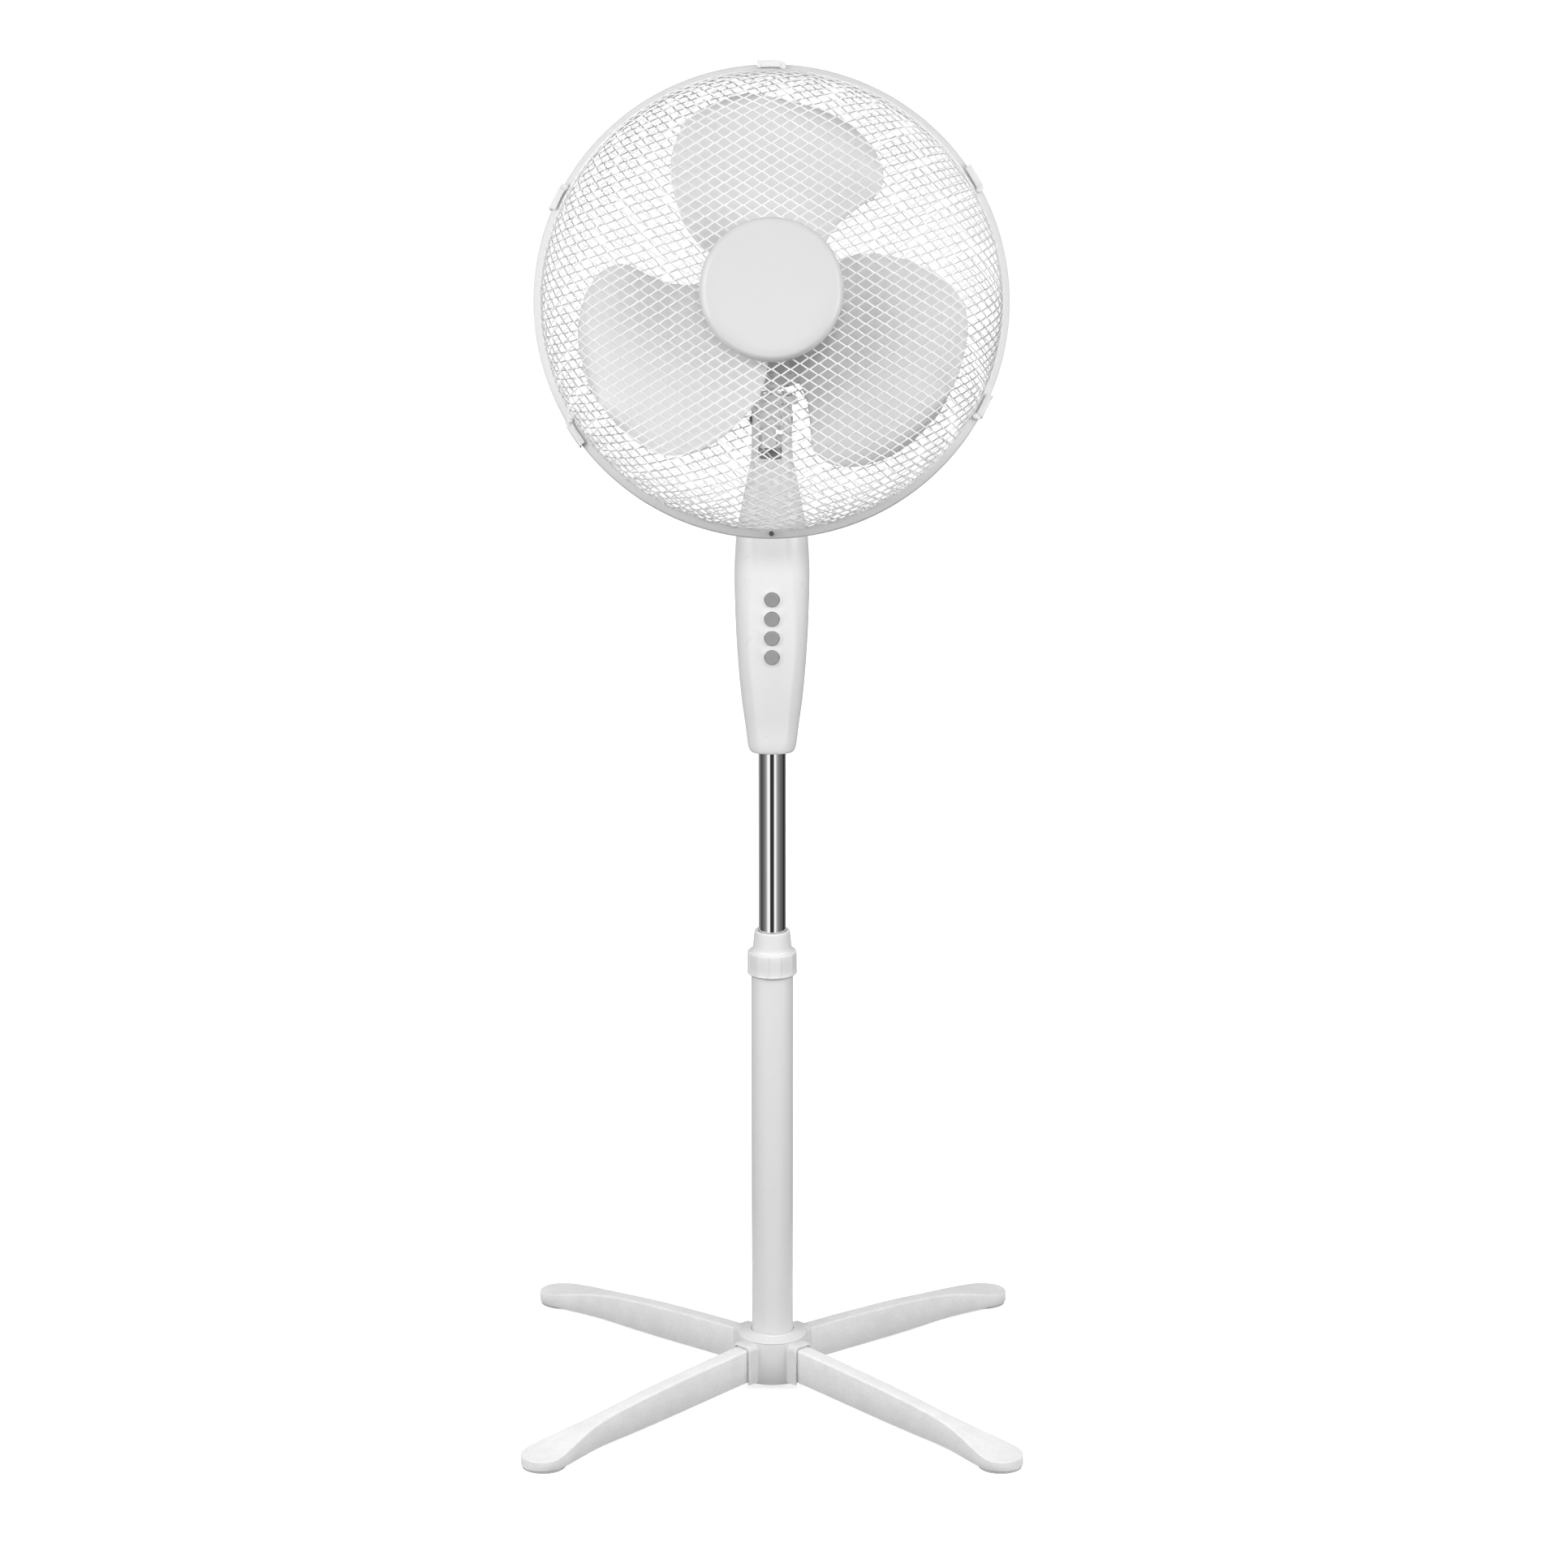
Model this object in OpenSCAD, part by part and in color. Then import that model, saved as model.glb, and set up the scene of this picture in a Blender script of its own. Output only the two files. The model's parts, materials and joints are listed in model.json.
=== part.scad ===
// Pedestal fan: four-leg base, telescopic column, control box, tilting and oscillating head.
// Origin on the floor at the column axis, +Z up, air blows towards -Y.

/* [Base] */
// Distance from the column axis to the tip of each leg
leg_reach = 300; // [285:5:315]
// Width of a leg between the hub and its flare
leg_w = 15; // [12:0.5:16]
// Width of the round foot at the end of a leg
foot_w = 40; // [36:1:44]
// Thickness of the soft pad under each foot
pad_h = 2.5; // [2:0.5:3]
// Radius of the hub body
hub_r = 31; // [31:0.5:34]
// Height of the hub's underside above the floor
hub_z = 9.6; // [8:0.1:10]
// Height of the hub's top above the floor
hub_top = 46; // [45:0.5:48]

/* [Column] */
// Outer diameter of the fixed lower tube
lower_d = 37; // [36:0.1:37]
// Outer diameter of the sliding upper tube
upper_d = 24; // [23:0.1:24]
// Wall thickness of both tubes
tube_wall = 1.2; // [1:0.1:1.4]
// Height of the collar's lower edge above the floor
collar_z = 386; // [376:1:396]
// Height of the grip band of the collar
grip_h = 21; // [18:1:24]
// Height of the cone above the grip band
cone_h = 18.7; // [16:0.1:20]
// Length of the upper tube
upper_len = 433; // [425:1:440]

/* [Control box] */
// Height of the box's underside above the floor
box_z = 590; // [588:1:595]
// Wall thickness of the box shells
shell = 2.2; // [2:0.1:2.5]
// Depth position of the joint line between the two shells
box_split = 4; // [2:1:6]
// Height of the lowest button's centre
button_z = 680.7; // [678:0.1:684]
// Distance between button centres
button_pitch = 17.3; // [16:0.1:18]
// Diameter of a button
button_d = 12.5; // [11:0.5:13]
// Sideways offset of the fork slot and of the bracket tongue in it
slot_x = -1.5; // [-2:0.5:0]
// Width of the fork slot
slot_w = 20; // [19:0.5:21]

/* [Head] */
// Height of the tilt pivot above the floor
pivot_z = 885; // [880:1:890]
// Backward lean of the head as it stands
rest_tilt = 18; // [14:1:18]
// Distance from the tilt pivot up to the motor shaft
shaft_h = 86.6; // [86:0.1:88]
// Outer radius of the guard hoop
hoop_r = 200; // [198:1:202]
// Distance from the oscillation axis forward to the middle of the hoop
hoop_y = 112.3; // [111:0.1:113]
// Radius of the round centre cap
cap_r = 60; // [56:1:62]
// Tip radius of the impeller
blade_r = 169.3; // [164:0.1:170]
// Number of blades
blades = 3; // [3:1:4]
// Long diagonal of one diamond of the guard mesh
mesh_a = 56; // [50:2:64]
// Short diagonal of one diamond of the guard mesh
mesh_b = 34; // [30:2:38]
// Width of a strand of the guard mesh
strand_w = 2.6; // [2.4:0.1:3.2]

/* [Hidden] */
$fn = 96;
fit = 0.05;                 // running clearance on a radius
eps = 0.01;
tube_r = lower_d / 2;
inner_tube_r = tube_r - tube_wall;
upper_r = upper_d / 2;
upper_z = box_z + 58 - upper_len;
seat_z = hub_z + 6;         // floor of the hub, on which the lower tube stands
socket_r = hub_r + 8.5;     // distance from the axis to the face of a leg socket
socket_w = 23;              // width of a leg socket block
leg_root = 24;              // inner end of a leg inside its socket
foot_r = foot_w / 2;
foot_c = leg_reach - foot_r;
nut_r = 22;
cone_z = collar_z + grip_h;
collar_top = cone_z + cone_h;
tube_screw_z = box_z + 30;
inlet_z = box_z + 52;       // height of the cord inlet in the back of the box
ear_r = 12;                 // radius of the fork ears round the tilt pivot
tongue_r = 10;
plate_z = -68;              // top of the bracket's platform under the motor, in the head frame
bolt_r = 3;
hoop_in = hoop_r - 7;       // inner radius of the guard hoop
hoop_h = 7.5;               // depth of each half of the hoop
guard_t = 1.6;              // thickness of the guard sheet
guard_flat = 148;           // radius of the flat middle of each guard
front_y = -hoop_y - 71.7;   // plane of the front guard's middle
rear_y = -hoop_y + 58.6;    // plane of the rear guard's middle
housing_r = 58;
housing_y = rear_y + guard_t / 2;   // front face of the motor housing, against the rear guard
housing_split = -20;        // joint line of the two motor covers
stack_y = -32;              // front face of the stator and rotor stacks
stack_h = 22;               // length of both stacks
cover_screws = [[-12, -18], [24, 8]];   // sideways and upward place of the rear cover's screws
clip_angles = [90, 31, -27, 214, 154];
clip_half = 2.9;            // half the angle that a clip covers on the hoop
wheel_x = 16;               // worm wheel spindle, from the shaft axis
wheel_y = 34;
out_y = 46;                 // output shaft, behind the oscillation axis
wheel_r = 12;
wheel_teeth = 36;
pinion_teeth = 8;
gear_teeth = 32;
crank_e = 10;               // throw of the crank pin
link_x = 16;                // fixed link pin on the bracket
link_z = plate_z + 0.5;     // underside of the link arm
mesh_turn = -atan2(out_y - wheel_y, wheel_x);
link_len = sqrt(pow(link_x, 2) + pow(out_y, 2));
crank_pin = [crank_e * out_y / link_len, out_y + crank_e * link_x / link_len];

// Frames: the head's own frame has its origin where the shaft crosses the oscillation axis.
module head() translate([0, 0, pivot_z]) rotate([-rest_tilt, 0, 0]) translate([0, 0, shaft_h]) children();

// Turns a shape drawn along +Z so that it runs along +Y from y0
module along(y0) translate([0, y0, 0]) rotate([-90, 0, 0]) children();

module ring(r_out, r_in, h) {
  difference() {
    cylinder(r = r_out, h = h);
    translate([0, 0, -1]) cylinder(r = r_in, h = h + 2);
  }
}

// ---- Base ----
// Top line of a leg: distance from the axis, height
leg_top = [[leg_root, 42.7], [60, 40.5], [96, 38.1], [132, 35.3], [156, 33.3], [180, 30.7], [204, 27.8],
           [228, 24.1], [240, 21.8], [252, 19.1], [264, 16.2], [276, 13.6], [288, 12]];
// Underside of a leg: distance from the axis, height
leg_under = [[leg_root, 11.8], [108, 6.9], [156, 4.4], [204, 2.7], [236, pad_h]];
leg_tip = 11.4;             // height of a leg's tip
leg_side = concat(leg_under, [[leg_reach + 1, pad_h], [leg_reach + 1, leg_tip]],
                  [for (k = [len(leg_top) - 1 : -1 : 0]) leg_top[k]]);
// Widening of a leg into its foot: distance short of the foot's centre, share of the widening
flare_rows = [[80, 0], [64, 0.08], [52, 0.21], [40, 0.38], [28, 0.59], [16, 0.81], [6, 0.96]];
flare = [for (p = flare_rows) [foot_c - p[0], leg_w / 2 + p[1] * (foot_r - leg_w / 2)]];

module leg_plan() {
  polygon(concat([[leg_root, -leg_w / 2]], [for (p = flare) [p[0], -p[1]]],
                 [[foot_c, -foot_r], [foot_c, foot_r]],
                 [for (k = [len(flare) - 1 : -1 : 0]) flare[k]], [[leg_root, leg_w / 2]]));
  translate([foot_c, 0]) circle(r = foot_r);
}

// The side view drawn out across a leg
module leg_sides() {
  translate([0, foot_w, 0]) rotate([90, 0, 0]) linear_extrude(height = 2 * foot_w) polygon(leg_side);
}

module leg(turn) {
  color("whitesmoke") rotate([0, 0, turn]) intersection() {
    linear_extrude(height = hub_top) leg_plan();
    leg_sides();
  }
}

module leg_front_left() leg(225);
module leg_front_right() leg(315);
module leg_rear_right() leg(45);
module leg_rear_left() leg(135);

module foot_pads() {
  color("gainsboro") for (turn = [45 : 90 : 315]) rotate([0, 0, turn])
    translate([foot_c, 0, 0]) cylinder(r = foot_r - 1, h = pad_h);
}

module base_hub() {
  color("whitesmoke") difference() {
    union() {
      translate([0, 0, hub_z]) cylinder(r = hub_r, h = hub_top - hub_z);
      for (turn = [45 : 90 : 315]) rotate([0, 0, turn])
        translate([0, -socket_w / 2, hub_z]) cube([socket_r, socket_w, hub_top - hub_z - 1]);
    }
    translate([0, 0, seat_z]) cylinder(r = tube_r, h = hub_top);
    translate([0, 0, hub_z - 1]) cylinder(r = 5.2, h = 8);
    for (turn = [45 : 90 : 315]) rotate([0, 0, turn]) intersection() {
      translate([leg_root, -leg_w / 2, 0]) cube([hub_r, leg_w, hub_top]);
      leg_sides();
    }
  }
}

module base_bolt() {
  color("silver") {
    translate([0, 0, hub_z - 3.6]) cylinder(r = 8, h = 3.6, $fn = 6);
    translate([0, 0, hub_z - eps]) cylinder(r = 4, h = 24);
  }
}

module tube_plug() {
  color("dimgray") translate([0, 0, seat_z]) ring(inner_tube_r, 4, 30);
}

module pole_flange() {
  color("whitesmoke") translate([0, 0, hub_top]) rotate_extrude()
    polygon([[tube_r, 0], [30.7, 0], [30.7, 1.2], [30, 1.9], [20.6, 4.3], [20.2, 5.2], [tube_r, 5.2]]);
}

// ---- Column ----
module lower_tube() {
  color("gainsboro") translate([0, 0, seat_z]) ring(tube_r, inner_tube_r, collar_z + 2 - seat_z);
}

module collet() {
  color("whitesmoke") difference() {
    union() {
      translate([0, 0, collar_z - 38]) cylinder(r = inner_tube_r, h = 40);
      translate([0, 0, collar_z + 2]) cylinder(r = 18.2, h = grip_h - 5);
      translate([0, 0, cone_z - 3]) cylinder(r = 14.6, h = cone_h - 4);
    }
    translate([0, 0, collar_z - 39]) cylinder(r = upper_r + fit, h = 80);
    for (turn = [0, 90]) rotate([0, 0, turn]) translate([-30, -1, cone_z]) cube([60, 2, cone_h]);
  }
}

module collar_nut() {
  color("whitesmoke") difference() {
    union() {
      translate([0, 0, collar_z]) cylinder(r1 = 20.6, r2 = nut_r, h = 2);
      translate([0, 0, collar_z + 2]) cylinder(r = nut_r, h = grip_h - 5);
      translate([0, 0, cone_z - 3]) cylinder(r1 = nut_r, r2 = 18, h = 3);
      translate([0, 0, cone_z]) cylinder(r1 = 17.4, r2 = 15.6, h = cone_h - 1);
      translate([0, 0, collar_top - 1]) cylinder(r1 = 15.6, r2 = 14.8, h = 1);
    }
    translate([0, 0, collar_z - 1]) cylinder(r = tube_r + 0.35, h = grip_h - 1);
    translate([0, 0, collar_z]) cylinder(r = 15, h = grip_h + cone_h - 5);
    translate([0, 0, collar_z]) cylinder(r = upper_r + 0.35, h = 60);
    for (turn = [15 : 30 : 345]) rotate([0, 0, turn])
      translate([nut_r + 0.6, 0, collar_z + 3]) cylinder(r = 1.1, h = grip_h - 8, $fn = 24);
  }
}

module upper_tube() {
  color("silver") difference() {
    translate([0, 0, upper_z]) ring(upper_r, upper_r - tube_wall, upper_len);
    translate([0, 0, tube_screw_z]) rotate([-90, 0, 0]) cylinder(r = 2, h = 30);
  }
}

module guide_bush() {
  color("dimgray") translate([0, 0, upper_z]) ring(inner_tube_r - 0.08, upper_r, 14);
}

module tube_sleeve() {
  color("gainsboro") difference() {
    translate([0, 0, box_z + 0.5]) ring(14.6, upper_r, 59);
    translate([0, 0, tube_screw_z]) rotate([-90, 0, 0]) cylinder(r = 2, h = 30);
  }
}

module tube_screw() {
  color("silver") translate([0, 0, tube_screw_z]) rotate([-90, 0, 0]) {
    translate([0, 0, 8]) cylinder(r = 2, h = 18);
    translate([0, 0, 14.6]) cylinder(r = 4, h = 2);
  }
}

// ---- Control box ----
// Half width and front and rear depth of the box at heights above its underside
box_rows = [[0, 19.2, 17.5, 17], [4, 20.9, 18.6, 18], [22, 23.2, 21, 20.5], [48, 26.7, 25, 24],
            [75, 29.2, 28.6, 27], [101, 30.9, 31.2, 29], [127, 32, 32.6, 30.2], [157, 32.6, 33, 30.6],
            [188, 31.2, 30.6, 29], [207, 28.4, 27.6, 26.6], [220, 25.8, 25.2, 24.2], [241, 22, 21.4, 20.4],
            [259, 18.5, 18.2, 17.2], [270, 17.7, 17, 16], [283, 17.5, 15.4, 14.6], [291, 17.4, 13, 12.4]];

// The rows' outline grown by g: column of box_rows on one side, another on the other
function outline(left, right, g) = concat(
  [for (row = box_rows) [row[left] + g, row[0] + box_z]],
  [for (k = [len(box_rows) - 1 : -1 : 0]) [-box_rows[k][right] - g, box_rows[k][0] + box_z]]);

module box_body(g) {
  intersection() {
    translate([0, 50, 0]) rotate([90, 0, 0]) linear_extrude(height = 100) union() {
      polygon(outline(1, 1, g));
      translate([0, pivot_z]) square([2 * (17.4 + g), 2 * (ear_r + g)], center = true);
    }
    translate([-50, 0, 0]) rotate([90, 0, 90]) linear_extrude(height = 100) union() {
      polygon(outline(3, 2, g));
      translate([0, pivot_z]) circle(r = ear_r + g);
    }
    translate([0, 0, box_z - 1]) linear_extrude(height = 400) {
      square([2 * (14 + g), 100], center = true);
      square([100, 2 * (14 + g)], center = true);
      for (sx = [-1, 1]) for (sy = [-1, 1]) translate([sx * 14, sy * 14]) circle(r = 19.4 + g);
    }
  }
}

// Front of the box at height z above the floor
function face_y(z) = let (k = [for (i = [0 : len(box_rows) - 2]) if (box_rows[i][0] <= z - box_z) i],
  i = k[len(k) - 1], a = box_rows[i], b = box_rows[i + 1])
  -(a[2] + (b[2] - a[2]) * (z - box_z - a[0]) / (b[0] - a[0]));

module box_screw_sites() {
  for (z = [box_z + 67, box_z + 212]) translate([0, 0, z]) rotate([-90, 0, 0]) children();
}

module box_shells() {
  difference() {
    union() {
      difference() {
        box_body(0);
        intersection() {
          box_body(-shell);
          translate([-50, -50, box_z + shell]) cube([100, 100, 255 - shell]);
        }
      }
      intersection() {
        box_body(-shell / 2);
        box_screw_sites() translate([0, 0, -40]) cylinder(r = 4, h = 80);
      }
    }
    translate([0, 0, box_z - 1]) cylinder(r = 14.6, h = 20);
    translate([slot_x - slot_w / 2, -14.8, box_z + 250]) cube([slot_w, 28, 80]);
    translate([slot_x - slot_w / 2, -40, 853]) cube([slot_w, 30, 80]);
    translate([slot_x - slot_w / 2, 0, 868]) cube([slot_w, 40, 80]);
    translate([-40, 0, pivot_z]) rotate([0, 90, 0]) cylinder(r = bolt_r, h = 80);
    translate([-21, 0, pivot_z]) rotate([0, 90, 0]) cylinder(r = 5.2, h = 5.4);
    translate([16, 0, pivot_z]) rotate([0, 90, 0]) cylinder(r = 5.2, h = 5);
    box_screw_sites() translate([0, 0, -22]) cylinder(r = 1.5, h = 30);
    box_screw_sites() translate([0, 0, box_split + 4]) cylinder(r = 3.2, h = 40);
    translate([0, 0, tube_screw_z]) rotate([-90, 0, 0]) cylinder(r = 4.3, h = 40);
    translate([0, 0, inlet_z]) rotate([-90, 0, 0]) cylinder(r = 4.5, h = 40);
    for (k = [0 : 3]) translate([0, -50, button_z + k * button_pitch]) rotate([-90, 0, 0])
      cylinder(r = button_d / 2 + 0.35, h = 30);
  }
}

module box_front_shell() {
  color("whitesmoke") intersection() {
    box_shells();
    translate([-50, -50, 500]) cube([100, 50 + box_split, 500]);
  }
}

module box_rear_shell() {
  color("whitesmoke") intersection() {
    box_shells();
    translate([-50, box_split, 500]) cube([100, 50, 500]);
  }
}

module box_screws() {
  color("silver") box_screw_sites() {
    translate([0, 0, -14]) cylinder(r = 1.5, h = 18 + box_split);
    translate([0, 0, box_split + 4]) cylinder(r = 2.9, h = 2.2);
  }
}

module switch_block() {
  color("dimgray") difference() {
    translate([-11, -23, button_z - 11]) cube([22, 17, 3 * button_pitch + 22]);
    for (k = [0 : 3]) translate([0, -24, button_z + k * button_pitch]) rotate([-90, 0, 0])
      cylinder(r = 2.8, h = 14);
  }
}

module button(k) {
  z = button_z + k * button_pitch;
  y = face_y(z) - 1.6;
  color("darkgray") translate([0, y, z]) rotate([-90, 0, 0]) {
    cylinder(r1 = button_d / 2 - 0.5, r2 = button_d / 2, h = 0.6);
    translate([0, 0, 0.6 - eps]) cylinder(r = button_d / 2, h = 5);
    translate([0, 0, 5]) cylinder(r = 2.5, h = -14 - y - 5);
  }
}

module button_1() button(3);
module button_2() button(2);
module button_3() button(1);
module button_4() button(0);

module capacitor() {
  color("dimgray") translate([-16, 2, button_z + 2]) cube([32, 16, 26]);
}

module cord_inlet() {
  color("gainsboro") translate([0, 19.5, inlet_z]) rotate([-90, 0, 0]) difference() {
    union() {
      cylinder(r = 4.5, h = 6);
      translate([0, 0, 6 - eps]) cylinder(r = 6, h = 2.5);
    }
    translate([0, 0, -1]) cylinder(r = 3, h = 12);
  }
}

// ---- Tilt joint ----
module tilt_bracket() {
  color("whitesmoke") head() difference() {
    union() {
      translate([slot_x - slot_w / 2 + 0.4, 0, -shaft_h]) rotate([0, 90, 0])
        cylinder(r = tongue_r, h = slot_w - 0.8);
      translate([slot_x - slot_w / 2 + 0.4, -tongue_r, -shaft_h]) cube([slot_w - 0.8, 2 * tongue_r, 14]);
      translate([slot_x - 7, -4, -shaft_h - 26]) cube([12, 8, 24]);
      translate([0, 0, plate_z - 6]) cylinder(r = 12, h = 6);
      translate([0, -6, plate_z - 6]) cube([link_x, 12, 6]);
      translate([link_x, 0, plate_z - 6]) cylinder(r = 6, h = 6);
      translate([link_x, 0, plate_z - eps]) cylinder(r = 2, h = 3.4);
      translate([0, 0, plate_z - eps]) cylinder(r = 5, h = 24);
    }
    translate([-40, 0, -shaft_h]) rotate([0, 90, 0]) cylinder(r = bolt_r + fit, h = 80);
  }
}

module tilt_bolt() {
  color("dimgray") translate([0, 0, pivot_z]) rotate([0, 90, 0]) {
    translate([0, 0, -19.5]) cylinder(r = bolt_r, h = 36);
    translate([0, 0, 16.5 - eps]) cylinder(r = 4.8, h = 1.5);
  }
}

module tilt_nut() {
  color("dimgray") translate([-18.6, 0, pivot_z]) rotate([0, 90, 0]) difference() {
    cylinder(r = 4.9, h = 3);
    translate([0, 0, -1]) cylinder(r = bolt_r, h = 5);
  }
}

// ---- Motor ----
module motor_front_cover() {
  color("whitesmoke") head() difference() {
    union() {
      along(housing_y) cylinder(r = housing_r, h = housing_split - housing_y);
      along(-62) cylinder(r = 20, h = 10);
    }
    along(housing_y + 2.4) cylinder(r = housing_r - 2.4, h = 40);
    along(-63) cylinder(r = 13, h = 20);
  }
}

module motor_rear_cover() {
  color("whitesmoke") head() difference() {
    union() {
      rotate([-90, 0, 0]) rotate_extrude() polygon([[housing_r - 2.4, housing_split],
        [housing_r, housing_split], [housing_r, 10], [57, 34], [54.5, 52], [49, 64], [38, 72], [0, 75],
        [0, 72.6], [37, 69.6], [47, 62], [52.2, 51], [54.6, 34], [housing_r - 2.4, 10]]);
      translate([0, 0, -61]) cylinder(r = 9, h = 14);
      for (p = cover_screws) along(66) translate([p[0], -p[1], 0]) cylinder(r = 4.5, h = 7);
    }
    for (p = cover_screws) along(60) translate([p[0], -p[1], 0]) cylinder(r = 1.6, h = 20);
    for (p = cover_screws) along(71.5) translate([p[0], -p[1], 0]) cylinder(r = 3.2, h = 10);
    translate([0, 0, -62]) cylinder(r = 5 + fit, h = 20);
    translate([0, out_y, -62]) cylinder(r = 3 + fit, h = 20);
    translate([wheel_x, wheel_y, 40]) cylinder(r = 3 + fit, h = 40);
  }
}

module motor_screws() {
  color("silver") head() for (p = cover_screws) along(66) translate([p[0], -p[1], 0]) {
    cylinder(r = 1.6, h = 5.5 + eps);
    translate([0, 0, 5.5]) cylinder(r = 3, h = 2);
  }
}

module stator_core() {
  color("gray") head() along(stack_y) difference() {
    ring(42, 23.2, stack_h);
    for (turn = [0 : 45 : 315]) rotate([0, 0, turn]) translate([28, -3.5, -1]) cube([9, 7, stack_h + 2]);
  }
}

module windings() {
  color("chocolate") head() {
    along(stack_y - 9) ring(38.5, 26, 9);
    along(stack_y + stack_h) ring(38.5, 26, 9);
    for (turn = [0 : 45 : 315]) rotate([0, turn, 0]) translate([28.2, stack_y - eps, -3.3])
      cube([8.6, stack_h + 2 * eps, 6.6]);
  }
}

module front_bearing() {
  color("goldenrod") head() along(-60) ring(13, 4 + fit, 10);
}

module rear_bearing() {
  color("goldenrod") head() along(14) ring(9, 4 + fit, 7);
}

module gearbox_case() {
  color("silver") head() difference() {
    translate([-20, 14, -26]) cube([51, 52, 44]);
    translate([-18, 21, -24]) cube([47, 43, 40]);
    along(13) cylinder(r = 9, h = 12);
    translate([0, out_y, -30]) cylinder(r = 3 + fit, h = 10);
    translate([wheel_x, wheel_y, -30]) cylinder(r = 2.5 + fit, h = 10);
    translate([wheel_x, wheel_y, 10]) cylinder(r = 3.4, h = 10);
  }
}

module rotor_core() {
  color("gray") head() along(stack_y) ring(22.7, 4, stack_h);
}

module shaft() {
  color("silver") head() {
    along(-174) cylinder(r = 4, h = 198);
    along(24 - eps) cylinder(r = 2.5, h = 20);
    along(-116) translate([-9, 0, 0]) rotate([0, 90, 0]) cylinder(r = 1.2, h = 18);
  }
}

// ---- Oscillation gears ----
// Outline of a straight-sided gear: slack is taken off each tooth's half width, in degrees
function gear_outline(teeth, r_root, r_tip, slack) = [for (k = [0 : teeth - 1]) for (c = [0 : 3])
  let (half = 90 / teeth - slack, a = 360 * k / teeth + [-1.45, -0.5, 0.5, 1.45][c] * half,
       r = [r_root, r_tip, r_tip, r_root][c]) [r * cos(a), r * sin(a)]];

// Threaded sleeve: a single-start screw thread of the given lead round a bore
worm_lead = 2 * PI * wheel_r / wheel_teeth;
worm_sides = 18;
worm_steps = 36;
worm_len = 12;
worm_bore = 2.56;            // corner radius of the bore, whose flats clear the 5 mm shaft end
function thread_r(y, a) = let (f = y / worm_lead - a / 360 + 0.5, w = abs(f - floor(f) - 0.5) * 2)
  4.7 - 1.5 * min(1, max(0, 1.6 * (1 - w) - 0.25));
function worm_ring(y, bore) = [for (s = [0 : worm_sides - 1]) let (a = 360 * s / worm_sides,
  r = bore ? worm_bore : thread_r(y, a)) [r * cos(a), y, r * sin(a)]];
worm_rows = worm_steps + 3;
worm_points = concat(
  [for (k = [0 : worm_steps]) for (p = worm_ring(worm_len * (k / worm_steps - 0.5), false)) p],
  worm_ring(worm_len / 2, true), worm_ring(-worm_len / 2, true));
worm_faces = [for (k = [0 : worm_rows - 1]) for (s = [0 : worm_sides - 1]) for (h = [0, 1])
  let (n = (s + 1) % worm_sides, up = (k + 1) % worm_rows * worm_sides, lo = k * worm_sides)
  h == 0 ? [lo + s, up + s, up + n] : [lo + s, up + n, lo + n]];

module worm() {
  color("silver") head() translate([0, wheel_y, 0]) polyhedron(worm_points, worm_faces, convexity = 8);
}

module worm_wheel() {
  color("ivory") head() translate([wheel_x, wheel_y, 0]) {
    translate([0, 0, -2.5]) linear_extrude(height = 5) polygon(gear_outline(wheel_teeth, 11.05, 12.5, 0.65));
    rotate([0, 0, mesh_turn + 180 + 180 / pinion_teeth]) translate([0, 0, -20]) linear_extrude(height = 16.5)
      polygon(gear_outline(pinion_teeth, 2.8, 4.9, 2.4));
    translate([0, 0, -28]) cylinder(r = 2.5, h = 36);
  }
}

module output_gear() {
  color("ivory") head() translate([0, out_y, 0]) {
    rotate([0, 0, mesh_turn]) translate([0, 0, -20]) linear_extrude(height = 7)
      polygon(gear_outline(gear_teeth, 14.8, 16.9, 0.6));
    translate([0, 0, -58.5]) cylinder(r = 3, h = 44);
  }
}

module crank() {
  color("silver") head() {
    translate([0, out_y, -61]) cylinder(r = 13, h = 2.5);
    translate([crank_pin[0], crank_pin[1], -64]) cylinder(r = 2, h = 3 + eps);
  }
}

module link_arm() {
  color("silver") head() difference() {
    union() {
      hull() {
        translate([link_x, 0, link_z]) cylinder(r = 3.5, h = 3, $fn = 32);
        translate([crank_pin[0], crank_pin[1], link_z]) cylinder(r = 3.5, h = 3, $fn = 32);
      }
      translate([link_x, 0, link_z]) cylinder(r = 5, h = 3);
      translate([crank_pin[0], crank_pin[1], link_z]) cylinder(r = 5, h = 3);
    }
    translate([link_x, 0, -70]) cylinder(r = 2 + fit, h = 10);
    translate([crank_pin[0], crank_pin[1], -70]) cylinder(r = 2.3, h = 10);
  }
}

module oscillation_knob() {
  color("whitesmoke") head() translate([wheel_x, wheel_y, 0]) {
    translate([0, 0, 9]) cylinder(r = 3, h = 52);
    translate([0, 0, 58.5]) cylinder(r = 7, h = 12);
    translate([0, 0, 70.5 - eps]) cylinder(r1 = 8.5, r2 = 7.5, h = 5);
  }
}

// ---- Guards ----
// A guard is a dome: flat to guard_flat, then a quarter-ellipse shoulder back to the hoop.
// s is the distance along the dome from its middle.
shoulder_w = hoop_in + 0.6 - guard_flat;
function shoulder_len(depth) = PI / 2 * sqrt((pow(shoulder_w, 2) + pow(depth, 2)) / 2);
function shoulder_t(s, depth) = s < guard_flat ? 0 : min(90, 90 * (s - guard_flat) / shoulder_len(depth));
function dome_point(uv, depth, side) = let (s = norm(uv), t = shoulder_t(s, depth),
  r = s < guard_flat ? s : guard_flat + shoulder_w * sin(t), d = depth * (1 - cos(t)),
  dr = shoulder_w * cos(t), dd = depth * sin(t), n = norm([dr, dd]), h = side * guard_t / 2,
  q = r + h * dd / n) [q * uv[0] / s, d - h * dr / n, q * uv[1] / s];

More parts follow.
